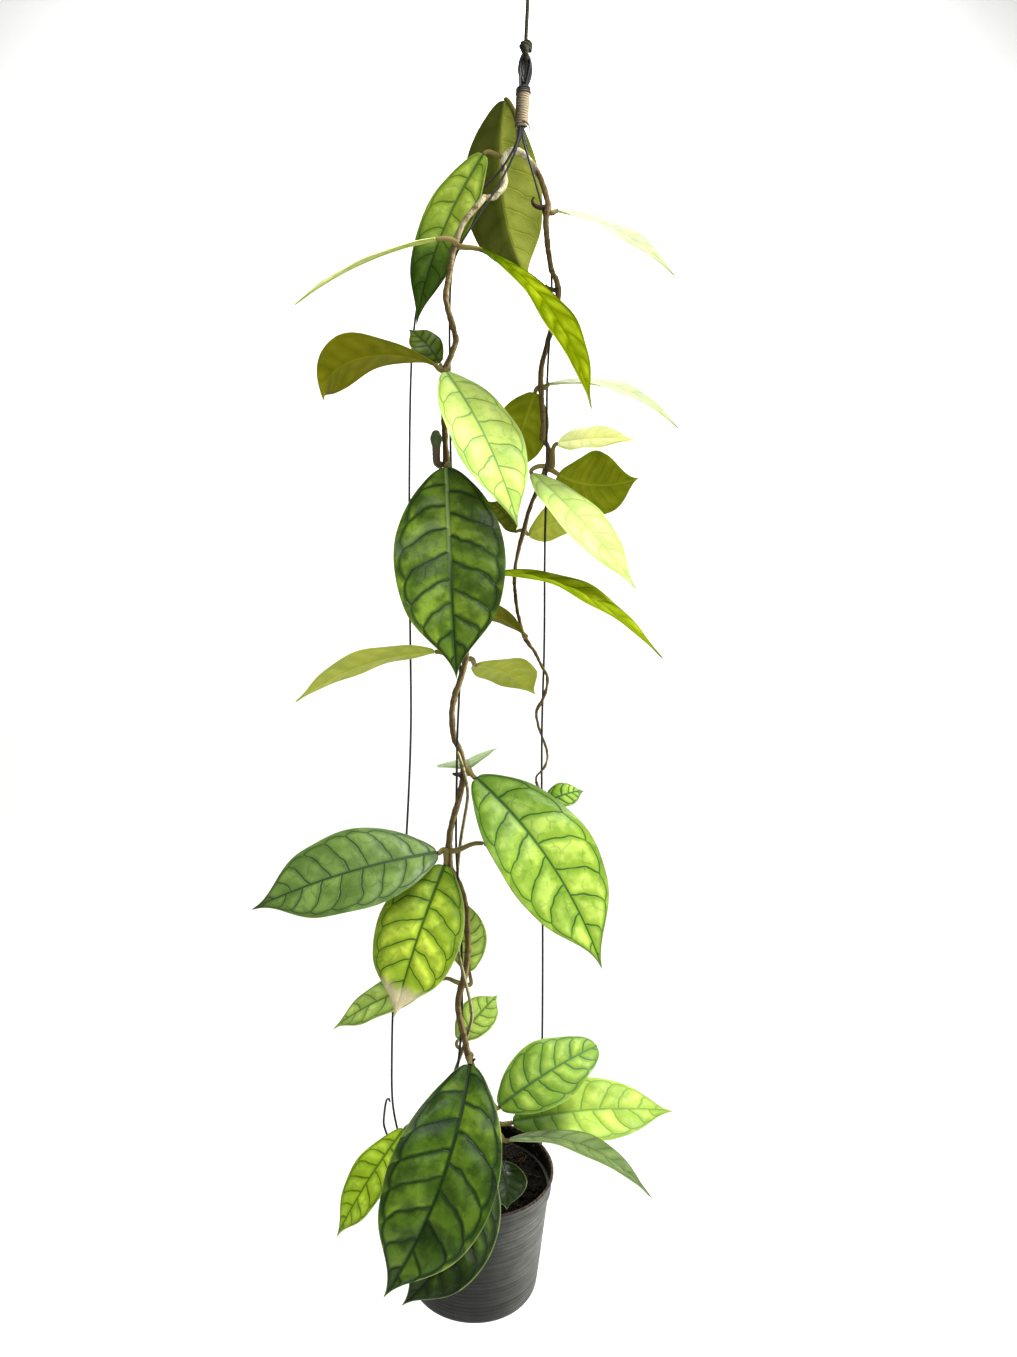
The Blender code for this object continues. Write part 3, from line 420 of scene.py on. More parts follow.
cord_olive = cord_finish("cord_olive", CORD_FOOT, 2.6, 3.0, CORD_OLIVE_DARK, CORD_OLIVE_LIGHT)
drop = new_curve("cord_drop", CORD_DIAMETER / 2 + CORD_FLUFF, 5)
drop.use_fill_caps = True
draw_line(drop, [Vector(CORD_FOOT).lerp(Vector(CORD_TOP), i / CORD_STEPS)
                 for i in range(CORD_STEPS + 1)])
cord_drop = new_piece("cord_drop", drop, cord_olive)
cord_eye = rounded("cord_loop_laid", "cord_loop", cord_olive, 0.15, ridge=0.12, knobs=1500.0)
cord_tie = rounded("cord_knot_laid", "cord_knot", cord_olive, 1.2, ridge=1.3, knobs=420.0)
wind("cord_knot_turns", (-1.9, -0.3, -57.2), 4.6, 2.3, (3.4, 2.7), 1.45, cord_olive,
     lean=-0.35, drift=0.25)
keep(cord_drop, "hanging_cord")


# The hanger is three black-coated steel wires, bent over each other into an eye, and hooked
# through holes in the rim of the pot. The left one ends in a loose curl.
wire_finish, tree, shader = start_finish("wire_black", 0.42, Metallic=0.35)
# Paler specks where the coating is worn.
worn = grain(object_spot(tree), 900.0, 3.0)
paint(shader, blend(worn.between(0.55, 0.75), (0.014, 0.016, 0.014), (0.075, 0.075, 0.06)), worn * 0.1,
      worn * 0.3 + 0.3)
for node in ("wire_front", "wire_left", "wire_right"):
    rounded(node + "_coated", node, wire_finish, 0.12)


# Thinner turns and strands run inside the eye and fill it, but for a small gap low on the right.
# A turn has its half width and height, its shift to the right and up, and its depth. A strand has
# its place to the right, its top and its foot.
EYE_CENTRE = Vector((-2.0, 0, -72))
EYE_WIRE_RADIUS = 1.05
TURN_START = -82    # degrees
TURN_SWEEP = 344
TURN_STEPS = 40
STRAND_STEPS = 12
EYE_TURNS = ((4.2, 11.6, 0.0, 0.0, -1.3), (3.1, 10.2, -0.5, 1.0, 1.2), (2.1, 8.8, -0.9, 2.0, -0.5),
             (1.0, 7.0, -1.2, 3.0, 0.7))
EYE_STRANDS = ((-4.4, -63, -82), (-3.2, -61, -82), (-2.2, -60.5, -80), (-0.9, -61.0, -75))
eye_curve = new_curve("wire_eye_turns", EYE_WIRE_RADIUS, 4)
for half_width, half_height, right, up, depth in EYE_TURNS:
    turn = []
    for i in range(TURN_STEPS + 1):
        angle = math.radians(TURN_START + TURN_SWEEP * i / TURN_STEPS)
        narrow = 1 - 0.4 * max(0.0, -math.sin(angle))
        turn.append(EYE_CENTRE + Vector((right + half_width * math.cos(angle) * narrow,
                                         depth * math.cos(angle * 0.5), up + half_height * math.sin(angle))))
    draw_line(eye_curve, turn)
for right, top, low in EYE_STRANDS:
    sways = [0.5 * math.sin(i * 0.9 + right) for i in range(STRAND_STEPS + 1)]
    draw_line(eye_curve, [(right + sway, 0.4 * sway, top + (low - top) * i / STRAND_STEPS)
                          for i, sway in enumerate(sways)])
eye_line = new_piece("eye_line", eye_curve)
eye_turns = new_piece("wire_eye_turns", now(eye_line), wire_finish)
bpy.data.objects.remove(eye_line, do_unlink=True)
eye_turns.data.shade_smooth()
keep(eye_turns)


# Below the eye the gathered wires are whipped with tan cord. Two turns of a dark cord lie over
# its top, and its pale end stands loose at its foot.
BIND_X = -3.9
BIND_TOP = -84.5
BIND_FOOT = -112.0
WIRE_TAILS = (((-4.9, -1.2, -109), (-5.4, -2.2, -118), (-7.8, -4.2, -126), (-11.2, -6.4, -135.5), 2.4, 0.6),
              ((-3.4, -0.6, -109), (-4.2, -1.6, -117), (-6.2, -3.2, -123), (-9.2, -4.8, -130), 1.9, 0.5),
              ((-4.0, 0.8, -109), (-3.4, 0.6, -117), (-1.4, 0.4, -122), (0.6, 0.2, -128.5), 1.5, 0.45))
LOOSE_END = ((-4, -4.2, -109), (0.5, -6.0, -110), (3.0, -5.5, -116), (-0.5, -5.5, -117.5))


def grown_shoot():
    """A thin bent shoot or cord end: its foot, two points it bends by, its tip and how it thickens."""
    tree, given, done = start_tree("grown_shoot", "GeometryNodeTree", {
        "Foot": "arrow", "First Bend": "arrow", "Second Bend": "arrow", "Tip": "arrow",
        "Foot Radius": "number", "Tip Radius": "number", "Swell": "number", "Swell At": "number",
        "Finish": "finish"}, {"Geometry": "shape"})
    line = add(tree, "GeometryNodeCurvePrimitiveBezierSegment", Resolution=24, Start=given["Foot"],
               Start_Handle=given["First Bend"], End_Handle=given["Second Bend"], End=given["Tip"])
    part = add(tree, "GeometryNodeSplineParameter")
    away = (part - given["Swell At"]) / 0.16
    knob = (-(away * away)).exp() * given["Swell"]
    ends = part.between(0.93, 1.0, 1.0, 0.35)
    width = (given["Foot Radius"] * (1.0 - part) + given["Tip Radius"] * part + knob) * ends
    return give_shape(tube_along(line, 1.0, 10, Scale=width), given, done)


shoot_tree = grown_shoot()


def shoot(name, points, foot, tip, finish, swell=0.0, swell_at=0.9):
    """A shoot through four points, with its radii in millimetres."""
    spots = [Vector(point) * MM for point in points]
    return keep(grow(name, shoot_tree, {
        **dict(zip(("Foot", "First Bend", "Second Bend", "Tip"), spots)), "Foot Radius": foot * MM,
        "Tip Radius": tip * MM, "Swell": swell * MM, "Swell At": swell_at, "Finish": finish}))


cord_tan = cord_finish("cord_tan", (BIND_X, 0, 0), 0.9, 3.0, (0.06, 0.04, 0.016), (0.56, 0.47, 0.3))
cord_dark = cord_finish("cord_dark", (BIND_X, 0, 0), 0.9, 3.0, (0.02, 0.02, 0.015), (0.07, 0.065, 0.05))
wind("whipping", (BIND_X - 0.8, 0, BIND_FOOT + 0.6), BIND_TOP - BIND_FOOT - 2.6, 15.0, (3.8, 4.3), 0.86,
     cord_tan, "binding", drift=0.055)
wind("dark_turns", (BIND_X + 0.6, 0, BIND_TOP - 4.2), 4.4, 2.6, (4.9, 4.5), 0.7, cord_dark)
shoot("whipping_loose_end", LOOSE_END, 0.9, 0.8, cord_tan)
for i, (*points, thick, thin) in enumerate(WIRE_TAILS):
    shoot(f"wire_tail_{i + 1}", points, thick, thin, wire_finish)


# The pot is a thin black plastic nursery pot, blow-moulded with fine rings round it and a stiff
# band under its rim. It hangs tipped towards the viewer.
RIM_CENTRE = Vector((-35, 0, -838))
POT_TURN = Matrix.Rotation(math.radians(2.5), 4, "Y") @ Matrix.Rotation(math.radians(12.5), 4, "X")
POT_FRAME = Matrix.Translation(RIM_CENTRE) @ POT_TURN
IN_PLACE = Matrix.Translation(RIM_CENTRE * MM) @ POT_TURN
RIM_RADIUS = 53.0
BASE_RADIUS = 45.4
POT_HEIGHT = 91.0
POT_WALL = 1.2
BAND_DEPTH = 14.0
SHOULDER = RIM_RADIUS - 2.6
RIB_COUNT = 24
RIB_STEP = (POT_HEIGHT - 6.4 - BAND_DEPTH) / RIB_COUNT
WIRE_BEARINGS = (240, 172, 34)
HOLE_DROP = 9.2
HOLE_RADIUS = 1.3
DRAIN_RING = 30
DRAIN_RADIUS = 4
POT_SIDES = 160
POT_BLACK = (0.003, 0.0033, 0.003)
POT_DUST_AND_SHEEN = (0.22, 0.225, 0.19)
COIR_STAIN = (0.13, 0.065, 0.025)


def pot_outline():
    """Radius and height of the pot's skin, from inside the rim, down the outside, to inside again."""
    points = [(RIM_RADIUS - inward, -depth) for inward, depth in (
        (1.9, 0.9), (1.6, 0.25), (1.1, 0), (0.4, 0.1), (0, 0.6), (0, 1.8), (0.25, 2.6), (0.9, 3.0))]
    points += [(RIM_RADIUS - 0.95 - 0.02 * i + 0.07 * math.cos(math.pi * i), -3.4 - i * 0.7)
               for i in range(14)]
    points += [(RIM_RADIUS - 1.2, -13.0), (RIM_RADIUS - 1.6, -13.5), (SHOULDER + 0.1, -14.1)]
    for i in range(1, RIB_COUNT * 4):
        part = i / (RIB_COUNT * 4)
        ribs = 0.10 if part > 0.62 else 0.035
        radius = SHOULDER + (BASE_RADIUS - SHOULDER) * part + ribs * math.sin(2 * math.pi * i / 4)
        points.append((radius, -BAND_DEPTH - 0.4 - RIB_STEP * i / 4))
    points += [(BASE_RADIUS - inward, up - POT_HEIGHT) for inward, up in (
        (0.1, 4.8), (0.5, 3), (1.2, 1.6), (2.4, 0.5), (4, 0), (5.5, 0.4), (7, 1.0), (BASE_RADIUS - 20, 1.0),
        (BASE_RADIUS, 0.8), (BASE_RADIUS, 1.9), (4.4, 1.9), (1.6, 5))]
    return points + [(SHOULDER - POT_WALL, -BAND_DEPTH), (RIM_RADIUS - 1.3 - POT_WALL, -BAND_DEPTH + 1),
                     (RIM_RADIUS - 2.3, -3)]


def turned(name, outline, steps):
    """A closed skin turned about Z from radius and height. A point on the axis is one vertex."""
    points = []
    rows = []
    faces = []
    for radius, height in outline:
        count = steps if radius > 0 else 1
        rows.append(range(len(points), len(points) + count))
        for i in range(count):
            angle = 2 * math.pi * i / steps
            points.append((radius * math.cos(angle) * MM, radius * math.sin(angle) * MM, height * MM))
    for row, after in zip(rows, rows[1:] + rows[:1]):
        if len(row) + len(after) > 2:
            for i in range(steps):
                corners = (row[i % len(row)], row[(i + 1) % len(row)], after[(i + 1) % len(after)],
                           after[i % len(after)])
                faces.append(list(dict.fromkeys(corners)))
    mesh = bpy.data.meshes.new(name)
    mesh.from_pydata(points, [], faces)
    shell = bmesh.new()
    shell.from_mesh(mesh)
    if shell.calc_volume(signed=True) < 0:
        mesh.flip_normals()
    shell.free()
    return mesh


def peg(start, end, radius):
    """A short round cutter."""
    start, end = Vector(start), Vector(end)
    shell = bmesh.new()
    lie = (end - start).to_track_quat("Z", "Y").to_matrix().to_4x4()
    place = Matrix.Translation((start + end) / 2 * MM) @ lie
    bmesh.ops.create_cone(shell, cap_ends=True, segments=16, radius1=radius * MM, radius2=radius * MM,
                          depth=(end - start).length * MM, matrix=place)
    mesh = bpy.data.meshes.new("cutter")
    shell.to_mesh(mesh)
    shell.free()
    return new_piece("cutter", mesh)


pot_finish, tree, shader = start_finish("pot_black", 0.45, Specular_IOR_Level=0.2)
spot = object_spot(tree)
upright = add(tree, "ShaderNodeMapping", settings={"vector_type": "TEXTURE"}, Vector=spot,
              Location=RIM_CENTRE * MM, Rotation=POT_TURN.to_euler())
x, y, z = upright.parts()
dust = grain(arrow(x * 0.6, y * 0.6, z * 1.4), 120.0, 5.0)
specks = grain(spot, 1500.0, 3.0)
rings = grain(arrow(x * 0.012, y * 0.012, z), 300.0, 3.0)
fine_rings = grain(arrow(x * 0.03, y * 0.03, z), 1300.0, 2.0)
crests = (z * (-2 * math.pi / (RIB_STEP * MM)) - 2 * math.pi * (BAND_DEPTH + 0.4) / RIB_STEP).sine()
radius = (x * x + y * y).math("SQRT")
inner_wall = radius.between(0.0510, 0.0516, 1.0, 0.0) * z.above(-0.0125)
inner_wall = inner_wall.most(z.between(-0.0016, -0.0004))
# The grey is partly real dust and partly a painted sheen: it is painted lighter to the right, where the
# light falls, and towards the top, and darker towards the bottom.
worn = dust.between(0.3, 0.7) * 0.16 + specks * 0.35 + 0.1
worn = worn * (rings.between(0.38, 0.56) * 0.25 + fine_rings * 0.35 + crests.between(0.3, 1.0) * 0.22 + 0.35)
lit = x.between(-0.004, 0.045)
worn = worn * z.between(-0.088, -0.02, 0.6, 1.1) * (lit * lit * 2.0 + 0.32)
coir = x.between(0.012, 0.045) * grain(spot, 420.0, 3.0).between(0.46, 0.56) * z.above(-0.003)
inside = blend(coir, (0.003, 0.003, 0.002), COIR_STAIN)
paint(shader, blend(inner_wall * 0.95, blend(worn, POT_BLACK, POT_DUST_AND_SHEEN), inside),
      rings * 0.45 + fine_rings * 0.2 + specks * 0.1, 0.5 - worn * 0.15 + specks * 0.12)

pot = new_piece("pot_moulded", turned("pot_moulded", pot_outline(), POT_SIDES), pot_finish)
cutters = []
for i in range(6):
    angle = math.radians(60 * i + 30)
    drain = Vector((DRAIN_RING * math.cos(angle), DRAIN_RING * math.sin(angle), -POT_HEIGHT))
    cutters.append(peg(drain - Vector((0, 0, 3)), drain + Vector((0, 0, 5)), DRAIN_RADIUS))
for bearing in WIRE_BEARINGS:
    ray = Vector((math.cos(math.radians(bearing)), math.sin(math.radians(bearing)), 0))
    level = Vector((0, 0, -HOLE_DROP))
    cutters.append(peg(ray * (RIM_RADIUS - 6) + level, ray * (RIM_RADIUS + 4) + level, HOLE_RADIUS))
tools = bpy.data.collections.new("pot_tools")
for cutter in cutters:
    tools.objects.link(cutter)
cut = pot.modifiers.new("holes", "BOOLEAN")
cut.operand_type = "COLLECTION"
cut.collection = tools
pot.data = now(pot)
pot.modifiers.clear()
for cutter in cutters:
    bpy.data.objects.remove(cutter, do_unlink=True)
bpy.data.collections.remove(tools)
pot.data.transform(IN_PLACE)
pot.data.shade_smooth()
pot.data.set_sharp_from_angle(angle=math.radians(38))
keep(pot, "pot")


# The potting mix is damp peat heaped a little in the middle, with bark chips pressed into it and
# coir fibres lying on it. Both stems grow out of it.
MIX_EDGE = -13.0
MIX_CROWN = 6.0
MIX_RADIUS = SHOULDER - POT_WALL - 0.5
MIX_SIDES = 150
MIX_STEPS = 44
CHIPS_PER_M2 = 62000.0
FIBRES_PER_M2 = 17000.0
CHIP_SIZE = 2.6
SCATTER_SEED = 5
CHIPS_SEED = 3
FIBRES_SEED = 8


def mix_height(x, y):
    near_wall = math.hypot(x, y) / MIX_RADIUS
    lumps = 1.6 * noise.noise(Vector((x, y, 3.0)) * 0.11) + 0.9 * noise.noise(Vector((x, y, 9.0)) * 0.3)
    crumbs = 0.7 * noise.noise(Vector((x, y, 5.0)) * 0.8) + 0.35 * noise.noise(Vector((x, y, 2.0)) * 2.1)
    return MIX_EDGE + MIX_CROWN * (1 - near_wall ** 2) + lumps * (1 - near_wall ** 4) + crumbs


def chance(tree, low, high, seed=0):
    made = tree.nodes.new("FunctionNodeRandomValue")
    made.data_type = "FLOAT_VECTOR"
    for socket, value in zip((made.inputs[0], made.inputs[1], made.inputs["Seed"]), (low, high, seed)):
        feed(socket, value)
    return Run(made.outputs[0])


def join(shapes):
    made = shapes[0].tree.nodes.new("GeometryNodeJoinGeometry")
    for shape in shapes:
        feed(made.inputs[0], shape)
    return Run(made.outputs[0])


def scattered():
    """Chips and fibres strewn over the mix: each has its own size and turn, and lies half sunk."""
    tree, given, done = start_tree("scattered_bark", "GeometryNodeTree", {
        "Geometry": "shape", "Chips per m2": "number", "Fibres per m2": "number", "Chip Size": "number",
        "Seed": "count", "Bark": "finish", "Coir": "finish"}, {"Geometry": "shape"})
    ball = add(tree, "GeometryNodeMeshIcoSphere", Radius=given["Chip Size"], Subdivisions=2)
    at = add(tree, "GeometryNodeInputPosition")
    chip = add(tree, "GeometryNodeSetPosition", Geometry=ball, Offset=at * ((grain(at, 420.0) - 0.5) * 0.9))
    bend = add(tree, "GeometryNodeCurvePrimitiveBezierSegment", Resolution=7, Start=(-0.007, 0, 0),
               Start_Handle=(-0.002, 0.004, 0.002), End_Handle=(0.003, -0.003, 0.001), End=(0.006, 0.001, 0))
    fibre = tube_along(bend, 0.00022, 4)
    strewn = []
    for piece, finish, density, seed in ((chip, "Bark", "Chips per m2", CHIPS_SEED),
                                         (fibre, "Coir", "Fibres per m2", FIBRES_SEED)):
        spread = add(tree, "GeometryNodeDistributePointsOnFaces", Mesh=given["Geometry"],
                     Density=given[density], Seed=given["Seed"] + seed)
        finished = add(tree, "GeometryNodeSetMaterial", Geometry=piece, Material=given[finish])
        strewn.append(add(tree, "GeometryNodeInstanceOnPoints", Points=spread, Instance=finished,
                          Rotation=chance(tree, (-0.5, -0.5, 0.0), (0.5, 0.5, 6.28)),
                          Scale=chance(tree, (0.5, 0.4, 0.3), (1.5, 1.0, 0.7), seed)))
    feed(done.inputs[0], add(tree, "GeometryNodeRealizeInstances", Geometry=join(strewn)))
    return tree


def earth_finish(name, dark, light, grain_size):
    finish, tree, shader = start_finish(name, 0.95, Specular_IOR_Level=0.12)
    crumbs = grain(object_spot(tree), grain_size, 5.0)
    paint(shader, blend(crumbs.between(0.35, 0.7), dark, light), crumbs * 0.8)
    return finish


mix_finish = earth_finish("potting_mix", (0.001, 0.0008, 0.0008), (0.008, 0.0055, 0.004), 700.0)
bark_finish = earth_finish("bark_chips", (0.001, 0.0008, 0.0006), (0.01, 0.0065, 0.004), 900.0)
coir_finish = earth_finish("coir_fibre", (0.05, 0.026, 0.012), (0.2, 0.11, 0.05), 1200.0)
mix_rings = [(0, -POT_HEIGHT + 2.4), (BASE_RADIUS - 5, -POT_HEIGHT + 2.4),
             (BASE_RADIUS - 2.4, -POT_HEIGHT + 6), (MIX_RADIUS - 0.9, MIX_EDGE - 3)]
mix_rings += [(MIX_RADIUS * (1 - i / MIX_STEPS), MIX_EDGE) for i in range(MIX_STEPS + 1)]
mix_mesh = turned("potting_mix_heaped", mix_rings, MIX_SIDES)
for vert in mix_mesh.vertices:
    if vert.co.z > (MIX_EDGE - 1) * MM:
        vert.co.z = mix_height(vert.co.x / MM, vert.co.y / MM) * MM
mix_mesh.transform(IN_PLACE)
mix_mesh.shade_smooth()
keep(new_piece("potting_mix_heaped", mix_mesh, mix_finish), "potting_mix")
crust = bmesh.new()
crust.from_mesh(mix_mesh)
to_pot = POT_FRAME.inverted()
buried = []
for face in crust.faces:
    middle = to_pot @ (face.calc_center_median() / MM)
    if middle.z < MIX_EDGE - 2 or middle.to_2d().length > MIX_RADIUS - 3:
        buried.append(face)
bmesh.ops.delete(crust, geom=buried, context="FACES")
crust_mesh = bpy.data.meshes.new("mulch")
crust.to_mesh(crust_mesh)
crust.free()
keep(grow("mulch", scattered(), {
    "Chips per m2": CHIPS_PER_M2, "Fibres per m2": FIBRES_PER_M2, "Chip Size": CHIP_SIZE * MM,
    "Seed": SCATTER_SEED, "Bark": bark_finish, "Coir": coir_finish}, crust_mesh))


# The vine is woody and brown where it is old, with a painted highlight that makes it pale over the top,
# and thin and green at its trailing tip. It is swollen and ringed where leaves left it. A younger strand
# climbs round it. Its side that faces right is painted lighter, as painted light.
VINE_BROWN = (0.075, 0.048, 0.017)
VINE_WORN_AND_LIT = (0.5, 0.38, 0.17)
VINE_PALE = (0.75, 0.7, 0.46)
BUD_DROP = 0.343   # the bud's foot, in metres below the origin


def stem_bark():
    """Bark of a climbing stem: fine cracks along it, pale corky spots, and scars across it."""
    tree, given, done = start_tree("stem_bark", "ShaderNodeTree", {
        "Old": "colour", "Worn": "colour", "Pale": "colour", "Pale Above": "number", "Lit": "number"},
        {"Color": "colour", "Height": "number"})
    spot = object_spot(tree)
    x, y, z = spot.parts()
    cracks = grain(arrow(x, y, z * 0.25), 1100.0, 3.0)
    blotches = grain(spot, 150.0, 3.0)
    corky = grain(spot, 1100.0, 1.0).between(0.62, 0.7)
    rings = grain(arrow(x * 0.1, y * 0.1, z), 380.0, 2.0).between(0.6, 0.68)
    high = (z + blotches * 0.05 - 0.025).between(given["Pale Above"] - 0.06, given["Pale Above"] + 0.05)
    rough = cracks.between(0.38, 0.62)
    # The side that faces right is blended towards the paler bark colour: painted light, strongest on the
    # left stretches.
    lit_side = facing_right(tree).between(0.1, 0.8) * blotches.between(0.3, 0.52, 0.3, 1.0)
    left = (x + blotches * 0.016 - 0.008).between(0.0, 0.008, 1.0, 0.0)
    lit_side = lit_side * given["Lit"] * (left * 0.7 + 0.3)
    body = blend(rough * 0.1 + corky * 0.16 + lit_side, given["Old"], given["Worn"])
    # Above Pale Above the bark is painted pale: a painted highlight, on the left stretches.
    painted_highlight = blend(rough * 0.35 + 0.62, given["Old"], given["Pale"])
    body = blend(high * left * blotches.between(0.3, 0.5), body, painted_highlight)
    feed(done.inputs["Color"], blend(rings * 0.55, body, given["Old"]))
    feed(done.inputs["Height"], cracks * 0.6 + blotches * 0.5 + corky * 0.15 - rings * 0.25)
    return tree


bark_group = stem_bark()


def stem_finish(name, old, worn, pale_above, lit, roughness=0.8):
    finish, tree, shader = start_finish(name, roughness, Specular_IOR_Level=0.15)
    out = use_group(tree, bark_group, {
        "Old": old, "Worn": worn, "Pale": VINE_PALE, "Pale Above": pale_above, "Lit": lit})
    paint(shader, out["Color"], out["Height"])
    return finish


bark = stem_finish("stem_bark", VINE_BROWN, VINE_WORN_AND_LIT, -0.165, 0.75)
young = stem_finish("stem_young", (0.11, 0.08, 0.03), (0.8, 0.74, 0.42), -0.14, 0.95, 0.6)
rounded("vine_bark", "vine", bark, 0.3, ridge=2.0, knobs=300.0, stretch=1.5)
rounded("strand_bark", "strand", young, 0.17, ridge=0.35, knobs=420.0, stretch=3.0)
spur_green, tree, shader = start_finish("bud_green", 0.5)
spot = object_spot(tree)
mottle = grain(spot, 700.0, 3.0)
top = (spot.parts()[2] + BUD_DROP).between(0.0, 0.008)
knob_green = blend(mottle, (0.02, 0.045, 0.008), (0.06, 0.10, 0.02))
paint(shader, blend(top, (0.07, 0.045, 0.02), knob_green), mottle * 0.5)
rounded("flower_spur_head", "flower_spur", spur_green, 0.9, ridge=0.9, knobs=500.0)


def skin_of(node):
    shell = bmesh.new()
    shell.from_mesh(cad[node].data)
    found = BVHTree.FromBMesh(shell)
    shell.free()
    return found


# Short dead stubs are left where a flower spur or a leaf dropped off: each has its foot, two
# points it bends by, its tip, its radius and its swollen end.
vine_skin = skin_of("vine")
dead = stem_finish("stem_dead", (0.03, 0.018, 0.008), (0.16, 0.11, 0.05), 0.5, 0.6)
STUBS = {
    "stub_crown": (
        (9.5, -0.5, -167), (4.0, -2.2, -170), (1.2, -2.6, -164.5), (4.4, -2.6, -161.4), 2.1, 0.6),
    "stub_bud_left": (
        (15.6, 0, -225.4), (13.8, -1.5, -225.4), (13.2, -1.8, -223.6), (12.4, -1.8, -222.2), 1.7, 0.5),
    "stub_bud_right": (
        (18.6, 0, -225), (20.0, -1.2, -225), (20.8, -1.4, -225), (21.6, -1.5, -224.8), 1.5, 0.4),
    "stub_waist_left": (
        (-47, -30, -562), (-49.4, -31, -562), (-50.4, -31, -561.6), (-51.4, -31, -561), 1.9, 0.5),
    "stub_waist_right": (
        (-45, -31, -563), (-43, -32, -563.4), (-42.4, -32, -563.6), (-41.8, -32, -564), 1.9, 0.5),
    "stub_foot": (
        (-38.4, -45, -749), (-37.4, -46, -749), (-36.2, -46, -748.4), (-35.4, -46, -747.6), 1.6, 0.4),
}
for name, (foot, first, second, tip, radius, swell) in STUBS.items():
    touch = vine_skin.find_nearest(Vector(foot) * MM)[0] / MM
    inside = touch + (touch - Vector(first)).normalized() * 0.8
    shoot(name, [inside, first, second, tip], radius, radius * 0.8, dead, swell, 0.86)


# The trailing stem is stout and scarred where it comes down from the crown.
KNUCKLE_HEIGHTS = (-137, -148, -158, -171)
old_wood = [Vector(vert.co) / MM for vert in cad["vine"].data.vertices if vert.co.x > 2 * MM]
middles = []
for height in KNUCKLE_HEIGHTS:
    near = [point for point in old_wood if abs(point.z - height) < 3.5]
    middles.append(sum(near, Vector()) / len(near))
shoot("stem_knuckle", middles, 1.5, 3.2, bark, 0.9, 0.62)


# The leaves are thick and stiff, quilted between their dark veins. Each is one grown piece with
# its stalk: the blade bends over its midrib, folds up, curls at its margins and ends in a point.
STALK_RADIUS = 1.6
STALK_BROWN = (0.2, 0.16, 0.05)
STALK_FOOT = 2.6       # how near to the stem a point counts as the stalk's foot
LEAF_FINENESS = 1.15   # millimetres between the rows of a blade
MIDRIB_LENGTH = 1.03   # a bent midrib, against the straight line from its foot to its tip
HANDLE_REACH = 1.33    # how far the Bezier handles stand off, for each unit that the midrib bends
SEED_STEP = 0.618


def vein_lines(across, along, share, part, spacing, seed):
    """How far a place on a blade is from its midrib, side veins and loops, in millimetres.

    The side veins leave the midrib almost squarely near the stalk and lean more towards the tip.
    Near the margin each bends forward and runs on to the next in a loop. share is -1 and 1 at
    the margins, and across and along are in millimetres.
    """
    out = abs(across)
    wide = abs(share)
    spot = arrow(across, along, seed * 40.0)
    drift = grain(spot, 0.045) - 0.5
    kinks = grain(spot, 0.16) - 0.5
    lean = out * (part * 0.55 + 0.12) + wide ** 4.0 * spacing * 0.5
    right = across.above(0.0)
    phase = (along + drift * 11.0 + kinks * 1.8 - lean) / spacing + right * 0.4 + seed
    onward = phase.math("FRACT")
    off = abs((phase + 0.5).math("FRACT") - 0.5)
    half = out / wide.most(0.05)
    loop_at = 0.83 + (onward * math.pi).sine() * 0.07 + drift * 0.08
    side = off * spacing * 0.9 + (wide - loop_at).most(0.0) * half * 1.5
    loop = abs(wide - loop_at) * half
    cell = phase.math("FLOOR") + right * 0.41 + wide.above(loop_at) * 0.23 + seed * 7.0
    return out, side, loop, cell, onward


def mark(shape, label, value):
    """Keeps a value on each point of a shape under a name, for the finish to read."""
    return add(shape.tree, "GeometryNodeStoreNamedAttribute", 0, {"data_type": "FLOAT_VECTOR"},
               Geometry=shape, Name=label, Value=value)


